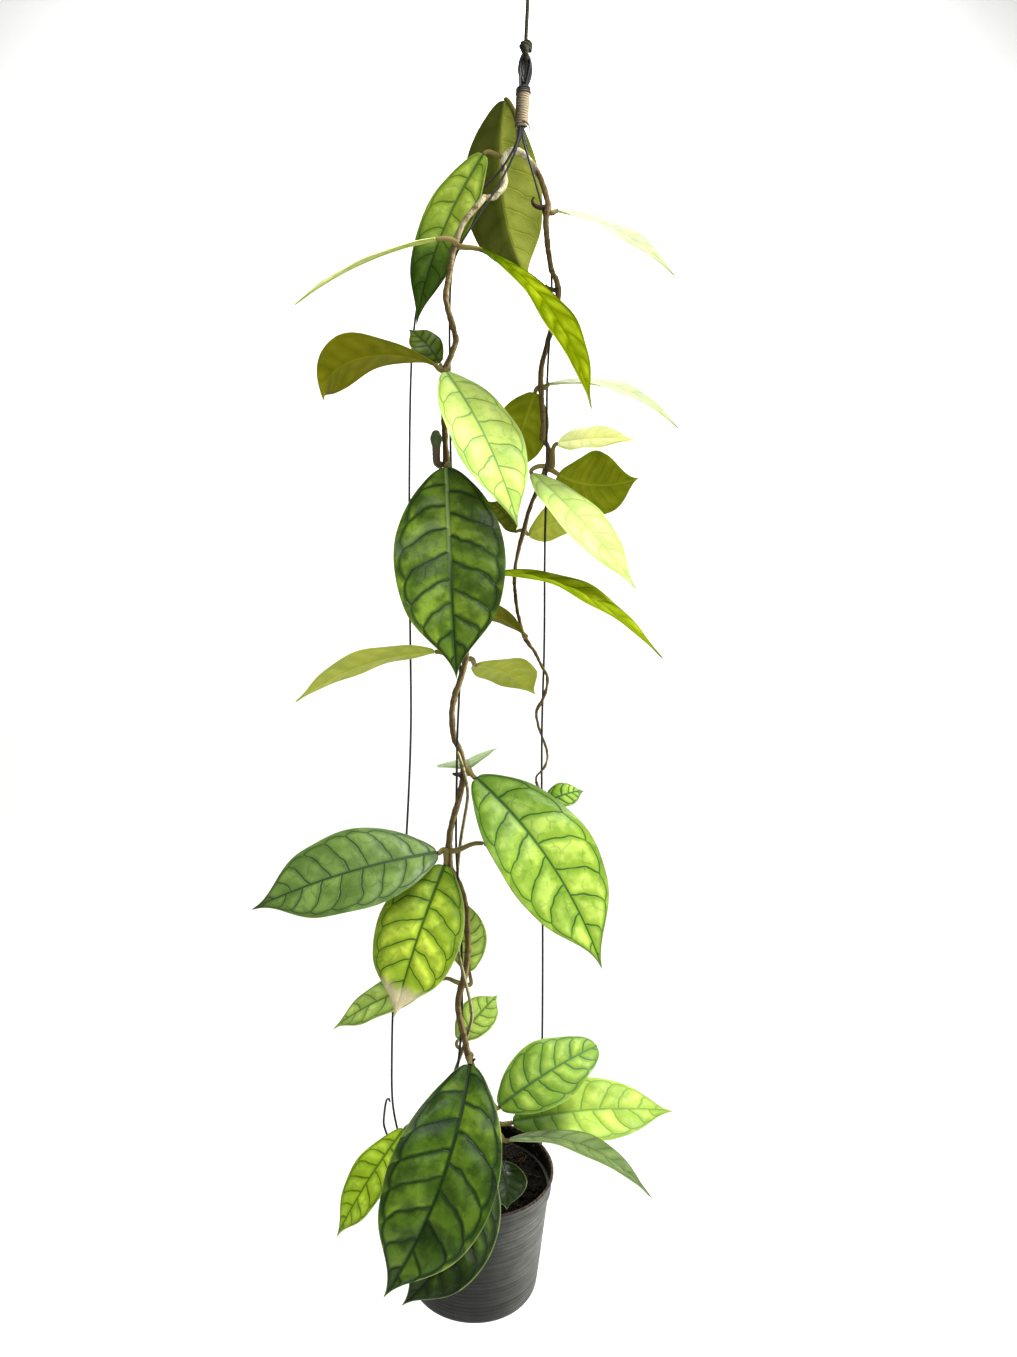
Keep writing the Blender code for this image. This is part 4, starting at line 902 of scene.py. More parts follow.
def blade_tree():
    """A leaf: its midrib as a Bezier curve, a blade that follows an outline, and its stalk."""
    kinds = {label: "arrow" for label in ("Foot", "First Bend", "Second Bend", "Tip", "Face", "Stalk Start",
                                          "Stalk Way")}
    kinds.update({label: "number" for label in (
        "Stalk Bend", "Width", "Length", "Widest", "Blunt", "Fold", "Cup", "Twist", "Quilt", "Stalk Radius",
        "Vein Spacing", "Seed", "Wave")})
    kinds.update({"Rows": "count", "Columns": "count", "Finish": "finish"})
    tree, given, done = start_tree("hoya_leaf", "GeometryNodeTree", kinds, {"Geometry": "shape"})
    foot, first, second, end = (given[label] for label in ("Foot", "First Bend", "Second Bend", "Tip"))
    spacing, seed = given["Vein Spacing"], given["Seed"]

    # The grid runs from the stalk to the tip, and round from one margin over the top and back below.
    sheet = add(tree, "GeometryNodeMeshGrid", Size_X=1.0, Size_Y=1.0, Vertices_X=given["Rows"],
                Vertices_Y=given["Columns"])
    place_x, place_y, _ = add(tree, "GeometryNodeInputPosition").parts()
    part = place_x + 0.5
    round_by = (place_y + 0.5) * 4.0
    upper = round_by.math("LESS_THAN", 2.0)
    side_sign = upper * 2.0 - 1.0
    even = (1.0 - abs(round_by - 2.0)) * -1.0
    share = even * (1.5 - even * even * 0.5)
    wide = abs(share)
    right = share.above(0.0)

    tip = ((part - 0.66) / 0.34).most(0.0).least(1.0)
    drawn = (tip * tip * (3.0 - tip * 2.0)) * (0.8 - given["Blunt"] * 1.1) + 0.74
    outline = ((part ** given["Widest"]) * math.pi).sine().most(0.0) ** drawn
    foot_end = (1.0 - part / 0.08).most(0.0)
    open_foot = part.between(0.0, 0.004)
    closed_tip = part.between(0.985, 1.0, 1.0, 0.0)
    half = given["Width"] * 0.5 * outline + given["Stalk Radius"] * foot_end + part * 0.3 * closed_tip
    half = half * open_foot
    across = share * half
    along = part * given["Length"]

    rest = 1.0 - part
    centre = (foot * (rest ** 3.0) + first * (rest * rest * part * 3.0) + second * (rest * part * part * 3.0)
              + end * (part ** 3.0))
    heading = ((first - foot) * (rest * rest) + (second - first) * (rest * part * 2.0)
               + (end - second) * (part * part)).unit()
    face = (given["Face"] - heading * given["Face"].dot(heading)).unit()
    turn = given["Twist"] * (part - 0.5)
    normal = face * turn.math("COSINE") + heading.cross(face) * turn.sine()
    side_way = heading.cross(normal)

    midrib, side_vein, loop, _, _ = vein_lines(across, along, share, part, spacing, seed)
    nearest = midrib.least(side_vein).least(loop) / 5.0
    swell = (1.0 - (-(nearest * nearest)).exp()) * (1.0 - wide ** 6.0)
    swell = swell * given["Quilt"] * 0.85 * outline.between(0.1, 0.6)
    fine_wave = (along * 0.16 + right * 2.0 + seed * 9.0).sine() * given["Wave"]
    rise = (wide * half * given["Fold"].sine() - given["Cup"] * half * share * share
            + half * share * share * 0.035 * (part * 15.0 + right * 2.2).sine()
            + fine_wave * (wide ** 4.0) + swell)
    spread = across * given["Fold"].math("COSINE")
    thick = (0.62 - share * share * 0.22) * (1.0 - wide ** 6.0).most(0.0).math("SQRT")
    rib = midrib / 1.5
    rib = (-(rib * rib)).exp() * (1.0 - part) * 0.7 * (1.0 - upper)
    foot_share = (-(part / 0.03)).exp()
    round_foot = (1.0 - share * share).most(0.0).math("SQRT") * given["Stalk Radius"] * 0.85
    thick = (thick + rib) * (1.0 - foot_share) + round_foot * foot_share
    thick = thick * open_foot * part.between(0.975, 1.0, 1.0, 0.0)
    shift = side_way * (spread * MM) + normal * ((rise + side_sign * thick) * MM)
    # The position is set last, because the grid's own place tells each point where it belongs.
    marked = mark(sheet, "blade", arrow(share, part, side_sign))
    marked = mark(marked, "span", arrow(across, along, spacing))
    marked = mark(marked, "plant", arrow(seed, swell, half))
    shaped = add(tree, "GeometryNodeSetPosition", Geometry=marked, Position=centre + shift)
    welded = add(tree, "GeometryNodeMergeByDistance", Geometry=shaped, Distance=0.00001)

    start = given["Stalk Start"]
    length = (foot - start).length()
    sag = foot - (first - foot).unit() * (length * given["Stalk Bend"])
    stalk_line = add(tree, "GeometryNodeCurvePrimitiveBezierSegment", Resolution=18, Start=start,
                     Start_Handle=start + given["Stalk Way"] * (length * 0.4), End_Handle=sag, End=foot)
    joint = (-(add(tree, "GeometryNodeSplineParameter") / 0.09)).exp() * 0.35
    girth = given["Stalk Radius"] * (1.0 + joint) * MM
    stalk = mark(tube_along(stalk_line, 1.0, 14, Scale=girth), "blade", (0.0, -1.0, 0.0))
    return give_shape(join([welded, stalk]), given, done)


leaf_tree = blade_tree()


def line_mask(distance, width):
    """1 on a line and 0 beside it, with soft edges."""
    return distance.between(width * 0.55, width * 1.6, 1.0, 0.0)


def leaf_skin():
    """The colour, gloss and relief of a blade, from the marks that the leaf tree left on it."""
    colours = ("Panel", "Crown", "Vein", "Under", "Under Vein", "Margin", "Tip", "Midrib", "Stalk")
    numbers = ("Vein Strength", "Vein Width", "Midrib Width", "Tip Part", "Dark Half", "Base Tone",
               "End Tone", "Turn At", "Gloss", "Halo", "Facet")
    tree, given, done = start_tree("leaf_skin", "ShaderNodeTree", {
        **{label: "colour" for label in colours}, **{label: "number" for label in numbers}},
        {"Color": "colour", "Glow": "colour", "Roughness": "number", "Height": "number"})
    blade, span, plant = (add(tree, "ShaderNodeAttribute", 1, {"attribute_name": label})
                          for label in ("blade", "span", "plant"))
    share, part, side = blade.parts()
    across, along, spacing = span.parts()
    seed, _, half = plant.parts()
    wide = abs(share)
    on_top = side.above(0.0)
    midrib, side_vein, loop, cell, onward = vein_lines(across, along, share, part, spacing, seed)
    on_midrib = midrib.between(0.6 - part * 0.4, 1.6 - part * 0.9, 1.0, 0.0)
    on_side = line_mask(side_vein, given["Vein Width"] * (1.15 - wide * 0.35))
    on_side = on_side * wide.between(0.94, 0.99, 1.0, 0.0)
    on_loop = line_mask(loop, given["Vein Width"] * 0.75)
    spot = arrow(across, along, seed * 23.0)
    warp = add(tree, "ShaderNodeTexNoise", 1, Vector=spot, Scale=0.16, Detail=2.0)
    cells = add(tree, "ShaderNodeTexVoronoi", 0, {"feature": "DISTANCE_TO_EDGE"},
                Vector=spot + warp * 5.0, Scale=0.1, Randomness=0.9)
    broken = grain(spot + (3.0, 7.0, 1.0), 0.12).between(0.44, 0.6)
    on_fine = line_mask(cells / 0.1, 0.55) * broken * 0.28
    lines = on_midrib.most(on_side).most(on_loop * 0.9).most(on_fine)
    # Panels are painted lighter away from the veins, out to Halo millimetres: painted shade in the grooves
    # by the veins and painted light on the swollen panels.
    crown = midrib.least(side_vein).least(loop).between(0.5, given["Halo"])
    cloud = grain(spot, 0.07, 3.0)
    fleck = grain(spot, 0.9, 3.0)

    top = blend(crown * (cloud.between(0.36, 0.64) * 0.85 + 0.25), given["Panel"], given["Crown"])
    top = blend(lines * given["Vein Strength"] * (fleck * 0.5 + 0.7), top, given["Vein"])
    band = midrib.between(given["Midrib Width"] * 0.4, given["Midrib Width"], 1.0, 0.0)
    top = blend(band * part.between(0.32, 0.6, 0.85, 0.0), top, given["Midrib"])
    inward = half * (1.0 - wide)
    top = blend(inward.between(0.35, 1.1, 1.0, 0.0) * 0.8, top, given["Margin"])
    top = blend(inward.between(0.5, 5.0, 0.22, 0.0), top, given["Vein"])
    dry = (part + (cloud - 0.5) * 0.12).between(0.96 - given["Tip Part"], 1.06 - given["Tip Part"])
    top = blend(dry, top, given["Tip"])

    low = blend(crown * 0.4 + cloud * 0.5 - 0.1, given["Under"], given["Under Vein"])
    low = blend(lines * 0.25 * given["Vein Strength"], low, given["Under"])
    low = blend(on_midrib * 0.7, low, given["Under Vein"])
    low = blend(dry, low, given["Tip"])
    colour = blend(on_top, low, top)
    # Dark Half paints one half of the blade darker, as painted shade.
    shaded = (share * given["Dark Half"]).between(-0.1, 0.25) * abs(given["Dark Half"])
    colour = blend(shaded, colour, blend(0.66, colour, (0.0, 0.008, 0.0)))
    # Base Tone and End Tone paint the blade darker or lighter from its foot to its tip, turning at Turn At:
    # painted shade and painted light, some of it shadow cast by other leaves.
    turn = part.between(given["Turn At"] - 0.13, given["Turn At"] + 0.13, given["Base Tone"],
                        given["End Tone"])
    tone = (cloud * 0.55 + fleck * 0.2 + 0.62) * turn
    # Each panel between the veins gets a random tone of its own, and is painted lighter towards its next
    # side vein along the blade, as a painted lit side.
    lot = add(tree, "ShaderNodeTexWhiteNoise", 0, {"noise_dimensions": "1D"}, W=cell) - 0.5
    tone = tone * ((lot * 0.9 + (onward - 0.45) * 0.7) * given["Facet"] * on_top + 1.0)
    toned = colour.arrows("MULTIPLY", arrow(tone ** 1.3, tone, tone ** 1.2))
    colour = blend(part.math("LESS_THAN", -0.5), toned, given["Stalk"])
    feed(done.inputs["Color"], colour)
    feed(done.inputs["Glow"], blend(0.35, colour, (0.75, 0.8, 0.1)))
    rough = given["Gloss"] + (1.0 - on_top) * 0.25 + lines * 0.08 + (cloud - 0.5) * 0.2
    feed(done.inputs["Roughness"], rough)
    feed(done.inputs["Height"], fleck * 0.14 + cloud * 0.5 - lines * 0.25)
    return tree


skin_group = leaf_skin()
FINISHES = {}
PLAIN_LOOK = {"vein_strength": 0.85, "vein_width": 0.5, "midrib_width": 0.01, "tip_part": -0.2,
              "dark_half": 0.0, "base_tone": 1.0, "end_tone": 1.0, "turn_at": 0.5, "gloss": 0.38,
              "halo": 5.0, "facet": 0.25}


def leaf_finish(name, panel, crown, vein, under, under_vein, glow=0.12, shine=0.22, **more):
    """One finish of leaf. Colours are given for the upper side's panels and veins and the underside."""
    look = {"panel": panel, "crown": crown, "vein": vein, "under": under, "under_vein": under_vein,
            "margin": crown, "tip": panel, "midrib": crown, "stalk": STALK_BROWN, **PLAIN_LOOK, **more}
    finish, tree, shader = start_finish(name, look["gloss"], Specular_IOR_Level=shine)
    out = use_group(tree, skin_group, {key.replace("_", " ").title(): value for key, value in look.items()})
    paint(shader, out["Color"], out["Height"], out["Roughness"], 0.8)
    glowing = add(tree, "ShaderNodeBsdfTranslucent", Color=out["Glow"])
    mixed = tree.nodes.new("ShaderNodeMixShader")
    for socket, value in zip(mixed.inputs, (glow, Run(shader.outputs[0]), glowing)):
        feed(socket, value)
    feed(tree.nodes["Material Output"].inputs["Surface"], Run(mixed.outputs[0]))
    FINISHES[name] = finish


# The finishes differ partly in each leaf's own colour and partly in painted light and shade: the pale and
# bright ones are painted lit, the dark and shaded ones painted in shade.
leaf_finish("olive_crown", (0.12, 0.15, 0.01), (0.16, 0.2, 0.02), (0.04, 0.07, 0.0), (0.205, 0.235, 0.025),
            (0.3, 0.34, 0.06), vein_strength=0.25, dark_half=-1.0, stalk=(0.1, 0.1, 0.02), shine=0.04)
leaf_finish("green_shaded", (0.2, 0.31, 0.018), (0.33, 0.46, 0.06), (0.04, 0.09, 0.02), (0.15, 0.17, 0.01),
            (0.22, 0.25, 0.02), base_tone=1.15, end_tone=0.33, turn_at=0.53, shine=0.14)
leaf_finish("edge_pale", (0.62, 0.7, 0.18), (0.8, 0.86, 0.32), (0.25, 0.4, 0.05), (0.42, 0.48, 0.08),
            (0.5, 0.56, 0.15), vein_strength=0.4)
leaf_finish("green_arched", (0.12, 0.16, 0.001), (0.215, 0.27, 0.006), (0.045, 0.08, 0.0),
            (0.13, 0.15, 0.004), (0.2, 0.22, 0.01), vein_strength=0.3, shine=0.0, base_tone=0.4,
            turn_at=0.2, facet=0.4, margin=(0.4, 0.46, 0.12))
leaf_finish("pale_edge_on", (0.33, 0.38, 0.17), (0.38, 0.42, 0.23), (0.22, 0.32, 0.08), (0.5, 0.55, 0.16),
            (0.6, 0.65, 0.25), vein_strength=0.4, shine=0.1)
leaf_finish("pale_upright", (0.93, 0.96, 0.34), (0.95, 0.98, 0.4), (0.7, 0.85, 0.25), (0.6, 0.66, 0.2),
            (0.7, 0.75, 0.3), vein_strength=0.3, glow=0.4, base_tone=1.1, end_tone=1.12, facet=0.05)
leaf_finish("pale_front", (0.56, 0.71, 0.17), (0.6, 0.73, 0.22), (0.26, 0.44, 0.12), (0.5, 0.55, 0.16),
            (0.6, 0.65, 0.25), vein_strength=0.6, shine=0.12, base_tone=0.8, turn_at=0.22)
leaf_finish("olive_arched", (0.3, 0.33, 0.04), (0.36, 0.4, 0.08), (0.1, 0.12, 0.01), (0.14, 0.14, 0.0),
            (0.23, 0.23, 0.01), shine=0.04)
leaf_finish("young_dark", (0.075, 0.13, 0.003), (0.19, 0.27, 0.012), (0.015, 0.04, 0.001),
            (0.1, 0.12, 0.004), (0.14, 0.16, 0.01))
leaf_finish("lime_sunlit", (0.49, 0.67, 0.12), (0.55, 0.71, 0.17), (0.13, 0.27, 0.09), (0.5, 0.55, 0.16),
            (0.6, 0.65, 0.25), shine=0.14)
leaf_finish("deep_green", (0.035, 0.085, 0.002), (0.17, 0.29, 0.02), (0.008, 0.03, 0.001),
            (0.1, 0.12, 0.004), (0.14, 0.16, 0.01), midrib=(0.26, 0.38, 0.12), midrib_width=1.7,
            gloss=0.33, shine=0.24, halo=2.8, vein_width=0.38, facet=0.6, dark_half=-0.4)
leaf_finish("olive_back", (0.13, 0.16, 0.01), (0.2, 0.23, 0.02), (0.04, 0.06, 0.002), (0.16, 0.19, 0.001),
            (0.28, 0.32, 0.02), vein_strength=0.5, shine=0.04)
leaf_finish("long_yellow", (0.18, 0.235, 0.004), (0.25, 0.31, 0.01), (0.07, 0.11, 0.002), (0.2, 0.22, 0.01),
            (0.3, 0.32, 0.03), vein_strength=0.6, shine=0.0, margin=(0.3, 0.36, 0.05), base_tone=0.85)
leaf_finish("olive_low", (0.4, 0.45, 0.04), (0.5, 0.55, 0.08), (0.2, 0.24, 0.01), (0.35, 0.39, 0.025),
            (0.48, 0.53, 0.07), vein_strength=0.5)
leaf_finish("bright_green", (0.2, 0.36, 0.022), (0.42, 0.59, 0.09), (0.02, 0.08, 0.016), (0.3, 0.38, 0.05),
            (0.36, 0.44, 0.08), vein_strength=0.95, margin=(0.24, 0.3, 0.06), shine=0.16, base_tone=0.66,
            end_tone=1.08, turn_at=0.34, vein_width=0.48, facet=0.3)
leaf_finish("grey_green", (0.088, 0.16, 0.026), (0.15, 0.25, 0.05), (0.016, 0.048, 0.015),
            (0.12, 0.15, 0.01), (0.2, 0.22, 0.03), vein_strength=0.95, tip=(0.05, 0.08, 0.015),
            tip_part=0.1, vein_width=0.42, facet=0.2, halo=3.0)
leaf_finish("yellow_hanging", (0.32, 0.5, 0.02), (0.7, 0.9, 0.08), (0.035, 0.1, 0.01), (0.3, 0.36, 0.03),
            (0.36, 0.44, 0.06), vein_strength=0.95, tip=(0.8, 0.72, 0.42), tip_part=0.2, base_tone=0.8,
            turn_at=0.3, dark_half=0.45, vein_width=0.42, margin=(0.6, 0.72, 0.24))
leaf_finish("back_green", (0.44, 0.64, 0.1), (0.66, 0.88, 0.2), (0.08, 0.18, 0.03), (0.3, 0.38, 0.04),
            (0.36, 0.44, 0.06), vein_width=0.45)
leaf_finish("mid_green", (0.28, 0.44, 0.1), (0.42, 0.6, 0.16), (0.08, 0.18, 0.05), (0.2, 0.26, 0.03),
            (0.28, 0.34, 0.05))
leaf_finish("rim_bright", (0.2, 0.35, 0.03), (0.37, 0.55, 0.09), (0.06, 0.15, 0.045), (0.3, 0.36, 0.04),
            (0.36, 0.44, 0.08), vein_strength=0.95, shine=0.16)
leaf_finish("rim_pale", (0.34, 0.5, 0.06), (0.48, 0.63, 0.11), (0.14, 0.27, 0.05), (0.4, 0.48, 0.1),
            (0.5, 0.58, 0.15), vein_strength=0.75, shine=0.14, base_tone=0.36, turn_at=0.27)
leaf_finish("rim_grey", (0.105, 0.165, 0.035), (0.15, 0.22, 0.06), (0.04, 0.08, 0.02), (0.2, 0.28, 0.06),
            (0.26, 0.34, 0.08), vein_strength=0.7, shine=0.16, margin=(0.3, 0.4, 0.14))
leaf_finish("front_dark", (0.018, 0.052, 0.001), (0.09, 0.175, 0.01), (0.004, 0.02, 0.001),
            (0.08, 0.1, 0.004), (0.12, 0.14, 0.01), margin=(0.26, 0.36, 0.1), gloss=0.3, halo=2.3,
            vein_width=0.38, facet=1.0)
leaf_finish("front_shaded", (0.01, 0.03, 0.001), (0.05, 0.1, 0.006), (0.003, 0.012, 0.001),
            (0.08, 0.1, 0.004), (0.12, 0.14, 0.01), margin=(0.26, 0.36, 0.1), gloss=0.3, shine=0.24,
            facet=0.5)
leaf_finish("left_bright", (0.4, 0.62, 0.012), (0.62, 0.88, 0.07), (0.07, 0.16, 0.006), (0.2, 0.26, 0.02),
            (0.3, 0.36, 0.04), margin=(0.5, 0.65, 0.15))


# Where leaves leave the stems: right, away, up
NODES = {
    "crown_left": (-18, 9, -128), "crown": (-8, 9, -123), "shoulder": (-52, -3, -195),
    "upper": (-57, -6, -284), "middle": (-55, -14, -351), "behind": (-47, -13, -430),
    "lower": (-43, -22, -483), "waist": (-45, -28, -560), "pair": (-53, -31, -613),
    "bend": (-43, -38, -701), "foot": (-40, -43, -748), "low": (-29, -36, -782),
    "base": (-24, -30, -801), "soil": (-27, -26, -815), "side": (-69, -10, -806),
    "trail_top": (12, -1, -172), "trail_upper": (9, 3, -292), "trail_middle": (14, 12, -348),
    "trail_knee": (-3, 11, -393), "trail_low": (-3, 13, -468), "trail_end": (9, 19, -574),
}


@dataclass
class Leaf:
    name: str
    node: str
    stalk: tuple         # from the stem's centre to the foot of the blade
    reach: tuple         # from the foot of the blade to its tip
    width: float
    face: tuple          # where the upper side looks
    tone: str            # a tone class of the leaf; not used
    finish: str
    arch: float = 8      # how far the middle stands off the straight line, on the upper side
    sway: float = 0      # the same, to the side
    early: float = 0     # above 0, the arch is highest nearer the stalk
    hook: float = 0      # how much further out the blade bends before it drops
    widest: float = 0.46
    fold: float = 10     # how many degrees each half rises from the midrib
    cup: float = 0.08    # how far the margins curl under, for each unit of half width
    twist: float = 0     # degrees from the stalk to the tip
    blunt: float = 0     # 0 for a drawn-out tip, 1 for a round one
    quilt: float = 1.0   # how high the panels between the veins swell
    veins: float = 7.5   # side veins on each half
    wave: float = 0.35   # how far the margin ripples
    bend: float = 0.4    # how far the stalk runs on before it turns into the blade


LEAVES = [
    Leaf("leaf_01_crown_back", "crown", (-8, 11, 41), (18, 12, -129), 60, (0.1, 0.95, 0.2), "leaf_olive",
         "olive_crown", fold=16, sway=-12, quilt=0.15, bend=0.12),
    Leaf("leaf_02_crown_left", "crown_left", (-13, -4, 0), (-48, 4, -120), 37, (-0.1, -0.92, 0.3),
         "leaf_green", "green_shaded", arch=1, sway=7, widest=0.42, veins=5.6),
    Leaf("leaf_03_shoulder_left", "shoulder", (-11, -20, -4), (-94, -14, -50), 46, (-0.45, -0.42, 0.85),
         "leaf_pale", "edge_pale", arch=6),
    Leaf("leaf_04_shoulder_right", "shoulder", (20, -3, -5), (74, -31, -119), 48, (0.75, -0.6, 0.4),
         "leaf_bright", "green_arched", arch=16),
    Leaf("leaf_05_trail_top_right", "trail_top", (9, 1, 2), (80, -14, -51), 44, (0.45, -0.6, 0.8),
         "leaf_pale", "pale_edge_on", arch=7),
    Leaf("leaf_06_arched_left", "upper", (-8, -2, 4), (-75, -8, -27), 50, (-0.2, 0.35, 0.9), "leaf_olive",
         "olive_arched", arch=25, hook=0.3, twist=35, widest=0.56, quilt=0.5),
    Leaf("leaf_07_young_left", "upper", (-5, 12, 9), (-22, 1, 24), 24, (-0.1, -0.75, 0.62), "leaf_dark",
         "young_dark", arch=3, veins=5),
    Leaf("leaf_08_bright_middle", "upper", (0, -8, -3), (50, -31, -112), 53, (0.25, -0.75, 0.6), "leaf_pale",
         "lime_sunlit", arch=10, veins=6.2),
    Leaf("leaf_09_dark_middle", "middle", (-1, -9, -3), (8, -19, -144), 75, (-0.02, -0.97, 0.25),
         "leaf_dark", "deep_green", arch=9, quilt=0.95, veins=7.6),
    Leaf("leaf_10_trail_back_left", "trail_upper", (-4, 5, -3), (-18, 20, -56), 40, (-0.2, 0.9, 0.35),
         "leaf_olive", "olive_back", arch=4, veins=6, quilt=0.5),
    Leaf("leaf_11_trail_right_upper", "trail_upper", (6, -2, 1), (89, -14, -35), 44, (0.3, -0.44, 0.9),
         "leaf_pale", "pale_edge_on", arch=12),
    Leaf("leaf_12_trail_pale_right", "trail_middle", (7, -8, 16), (53, -11, 0), 40, (0.1, -0.6, 0.8),
         "leaf_pale", "pale_upright", arch=2, widest=0.4, veins=6, quilt=0.4),
    Leaf("leaf_13_trail_olive_right", "trail_middle", (8, 6, -3), (59, 9, -1), 50, (0.05, 0.9, 0.42),
         "leaf_olive", "olive_back", arch=5, sway=-8, quilt=0.5),
    Leaf("leaf_14_trail_bright_front", "trail_middle", (-11, -11, -6), (70, -30, -84), 39,
         (0.35, -0.75, 0.55), "leaf_pale", "pale_front", arch=8, sway=4, veins=6),
    Leaf("leaf_15_trail_small_left", "trail_knee", (-6, -3, 0), (-19, -12, 19), 22, (0.3, -0.8, 0.5),
         "leaf_dark", "olive_back", arch=3, veins=5),
    Leaf("leaf_16_trail_small_back", "trail_knee", (4, 6, -1), (47, 19, 18), 30, (0, 0.8, 0.6), "leaf_olive",
         "olive_low", arch=4, veins=6),
    Leaf("leaf_17_long_right", "behind", (8, 0, 2), (129, -24, -57), 50, (0.35, -0.3, 0.88), "leaf_green",
         "long_yellow", arch=20, early=0.15),
    Leaf("leaf_18_trail_low_left", "trail_low", (0, -11, 2), (-57, -2, 3), 36, (-0.2, 0.3, 0.9),
         "leaf_olive", "olive_arched", arch=14),
    Leaf("leaf_19_low_left", "lower", (-21, 8, 4), (-96, -4, -35), 48, (-0.25, 0.25, 0.93), "leaf_olive",
         "olive_low", arch=9),
    Leaf("leaf_20_low_back_right", "lower", (7, 10, -5), (42, 38, -21), 44, (0.1, 0.5, 0.86), "leaf_olive",
         "olive_low", arch=5, veins=6),
    Leaf("leaf_21_pointing_back", "waist", (4, 17, 1), (-2, 84, -5), 46, (-0.285, 0.07, 0.958), "leaf_green",
         "mid_green", arch=5),
    Leaf("leaf_22_large_right", "waist", (9, -5, -4), (83, -23, -122), 69, (0.2, -0.85, 0.5), "leaf_bright",
         "bright_green", arch=12, sway=-6, veins=6.6),
    Leaf("leaf_23_trail_tip", "trail_end", (3, 2, -14), (29, 6, 9), 22, (0, -0.7, 0.7), "leaf_bright",
         "bright_green", arch=3, veins=5),
    Leaf("leaf_24_broad_left", "pair", (-8, -5, -1), (-118, -28, -32), 60, (-0.05, -0.8, 0.6), "leaf_dark",
         "grey_green", arch=10, quilt=0.7, veins=8.5),
    Leaf("leaf_25_yellow_hanging", "pair", (-3, -4, -9), (-32, -19, -96), 59, (-0.1, -0.9, 0.4),
         "leaf_bright", "yellow_hanging", arch=8, veins=6.5),
    Leaf("leaf_26_upright_back", "bend", (3, 13, 5), (-5, 20, 43), 28, (0, -0.9, 0.4), "leaf_green",
         "back_green", arch=3, blunt=0.6, veins=5),
    Leaf("leaf_27_hidden_right", "pair", (22, 12, 3), (64, 12, -32), 42, (0.2, -0.3, 0.93), "leaf_green",
         "mid_green", arch=6),
    Leaf("leaf_28_narrow_left", "bend", (-15, 6, 2), (-75, 10, -37), 31, (-0.3, -0.55, 0.78), "leaf_green",
         "back_green", arch=6, veins=6),
    Leaf("leaf_29_upright_small", "foot", (-8, 20, 5), (27, 20, 25), 26, (-0.1, -0.85, 0.5), "leaf_bright",
         "back_green", arch=3, veins=5),
    Leaf("leaf_30_pot_right_upper", "low", (9, 9, -5), (68, 22, 34), 46, (-0.1, -0.8, 0.6), "leaf_bright",
         "rim_bright", arch=8, blunt=0.9, veins=6),
    Leaf("leaf_31_pot_right_lower", "base", (13, 32, -8), (115, 9, 4), 48, (0.05, -0.62, 0.78), "leaf_pale",
         "rim_pale", arch=9),
    Leaf("leaf_32_pot_right_drooping", "base", (10, 4, -9), (93, -34, -23), 42, (0.38, 0.0, 0.92),
         "leaf_dark", "rim_grey", arch=15),
    Leaf("leaf_33_large_front", "foot", (1, -9, -1), (-53, -32, -135), 71, (0.05, -0.93, 0.35), "leaf_dark",
         "front_dark", arch=12, sway=-9, fold=12, widest=0.47, veins=7.2, quilt=1.2),
    Leaf("leaf_34_front_over_rim", "soil", (0, -22, -5), (-54, -32, -71), 46, (0.1, -0.9, 0.4), "leaf_dark",
         "front_shaded", arch=11, sway=-6, quilt=1.3),
    Leaf("leaf_35_small_at_rim", "soil", (8, -6, -6), (4, -14, -26), 30, (0.3, -0.5, 0.8), "leaf_dark",
         "front_shaded", arch=4, veins=5),
    Leaf("leaf_36_pot_left", "side", (-16, -4, -1), (-44, -16, -66), 33, (-0.45, -0.7, 0.5), "leaf_bright",
         "left_bright", arch=8, sway=-3),
]


def stem_at_stalk(node, stem):
    """Where a leaf's own CAD stalk meets the stem, and which way it leaves it."""
    points = np.array([vert.co for vert in cad[node].data.vertices])
    hits = [stem.find_nearest(Vector(point)) for point in points]
    foot = points[min(range(len(hits)), key=lambda i: hits[i][3])]
    ring = points[np.linalg.norm(points - foot, axis=1) < STALK_FOOT * MM]
    centre = Vector(ring.mean(axis=0))
    touch = stem.find_nearest(centre)[0]
    return touch, (centre - touch).normalized()


stems = {"side": skin_of("strand")}
fine = LEAF_FINENESS
for number, leaf in enumerate(LEAVES):
    foot = Vector(NODES[leaf.node]) + Vector(leaf.stalk)
    reach = Vector(leaf.reach)
    face = Vector(leaf.face)
    face = (face - reach * (face.dot(reach) / reach.length_squared)).normalized()
    bow = (face * leaf.arch + reach.normalized().cross(face) * leaf.sway) * HANDLE_REACH
    touch, way = stem_at_stalk(leaf.name, stems.get(leaf.node, vine_skin))
    length = reach.length * MIDRIB_LENGTH
    grown = grow(leaf.name + "_grown", leaf_tree, {
        "Foot": foot * MM, "First Bend": (foot + reach * 0.33 + bow * (1 + leaf.early)) * MM,
        "Second Bend": (foot + reach * (0.67 + leaf.hook) + bow * (1 - leaf.early)) * MM,
        "Tip": (foot + reach) * MM, "Face": face, "Stalk Start": touch, "Stalk Way": way,
        "Stalk Bend": float(leaf.bend), "Width": float(leaf.width), "Length": length,
        "Widest": math.log(0.5) / math.log(leaf.widest), "Blunt": float(leaf.blunt),
        "Fold": math.radians(leaf.fold), "Cup": float(leaf.cup), "Twist": math.radians(leaf.twist),
        "Quilt": float(leaf.quilt), "Wave": float(leaf.wave),
        "Stalk Radius": STALK_RADIUS * min(1.0, 0.35 + leaf.width / 75),
        "Vein Spacing": length / (leaf.veins + 1), "Seed": (number * SEED_STEP) % 1.0,
        "Rows": int(length / fine) + 20, "Columns": 2 * (int(leaf.width / fine) + 12) + 1,
        "Finish": FINISHES[leaf.finish]})
    keep(grown, leaf.name)


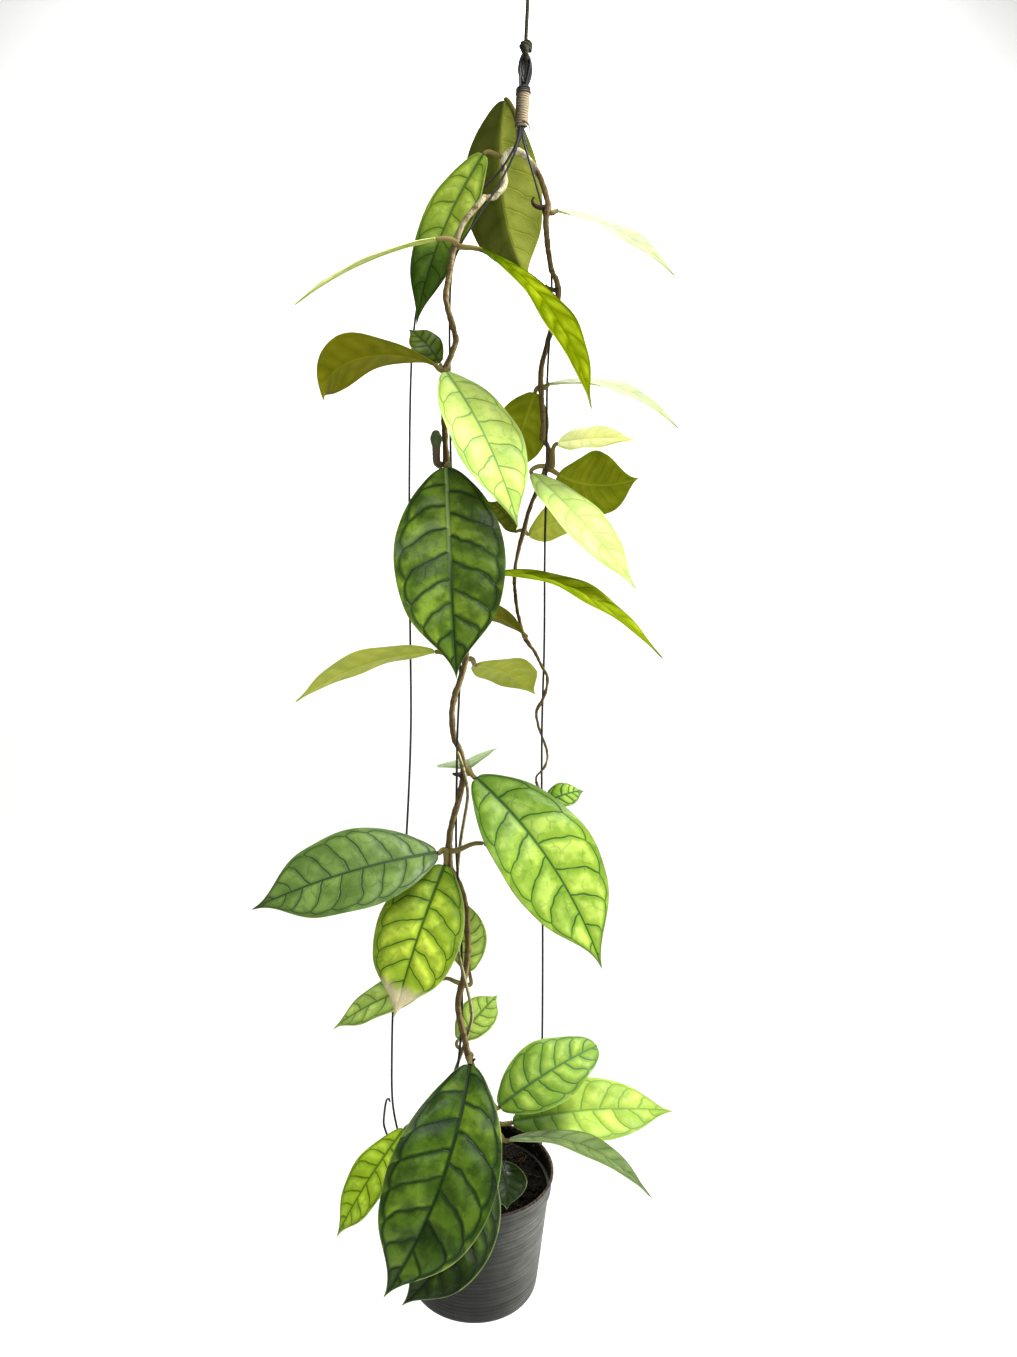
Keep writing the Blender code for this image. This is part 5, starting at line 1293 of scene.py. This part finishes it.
# The plant hangs before a plain pale sweep: a floor that bends up into a backdrop behind it.
SWEEP_HALF_WIDTH = 3.2
FLOOR_FRONT = -2.6
FLOOR_BACK = 0.8
FLOOR_HEIGHT = -1.42
SWEEP_BEND = 0.7
WALL_HEIGHT = 2.6
BEND_FROM = 0.4     # the part of the sweep where its floor starts to bend up
WALL_FROM = 0.7
SWEEP_STEPS = 40
sweep_points = []
for i in range(SWEEP_STEPS + 1):
    part = i / SWEEP_STEPS
    if part < BEND_FROM:
        floor = (FLOOR_BACK - FLOOR_FRONT) * part / BEND_FROM
        sweep_points.append((FLOOR_FRONT + floor, FLOOR_HEIGHT))
    elif part < WALL_FROM:
        turn = (part - BEND_FROM) / (WALL_FROM - BEND_FROM) * math.pi / 2
        sweep_points.append((FLOOR_BACK + SWEEP_BEND * math.sin(turn),
                             FLOOR_HEIGHT + SWEEP_BEND * (1 - math.cos(turn))))
    else:
        climb = WALL_HEIGHT * (part - WALL_FROM) / (1 - WALL_FROM)
        sweep_points.append((FLOOR_BACK + SWEEP_BEND, FLOOR_HEIGHT + SWEEP_BEND + climb))
sweep_mesh = bpy.data.meshes.new("pale_sweep")
sweep_mesh.from_pydata([(side * SWEEP_HALF_WIDTH, y, z) for y, z in sweep_points for side in (-1, 1)], [],
                       [(i, i + 1, i + 3, i + 2) for i in range(0, 2 * SWEEP_STEPS, 2)])
sweep_mesh.shade_smooth()
paper, tree, shader = start_finish("pale_paper", 0.9)
fibre = grain(object_spot(tree), 60.0, 3.0)
feed(shader.inputs["Base Color"], blend(fibre, (0.9, 0.9, 0.89), (0.93, 0.93, 0.92)))
sweep = new_piece("pale_sweep", sweep_mesh, paper)
SKY_STRENGTH = 0.34


def soft_light(name, place, target, size, power):
    data = bpy.data.lights.new(name, "AREA")
    data.shape = "DISK"
    data.size = size
    data.energy = power
    light = bpy.data.objects.new(name, data)
    light.location = place
    light.rotation_euler = (Vector(target) - Vector(place)).to_track_quat("-Z", "Y").to_euler()
    bpy.context.scene.collection.objects.link(light)


# Plain soft studio light: most of it falls from above on the right, with a little from the front.
# The backdrop has a light of its own.
soft_light("light_above_right", (0.75, -0.3, 0.75), (0, 0, -0.45), 0.55, 34)
soft_light("light_front", (0.2, -1.7, 0.35), (0, 0, -0.5), 0.8, 11)
soft_light("light_right", (1.3, -0.7, -0.5), (0, 0, -0.7), 0.6, 7)
soft_light("light_backdrop", (0, 0.9, 0.9), (0, 1.5, -0.7), 1.4, 26)
sky = bpy.data.worlds.new("studio")
sky.use_nodes = True
background = sky.node_tree.nodes["Background"]
feed(background.inputs["Color"], (1, 1, 1))
feed(background.inputs["Strength"], SKY_STRENGTH)
bpy.context.scene.world = sky
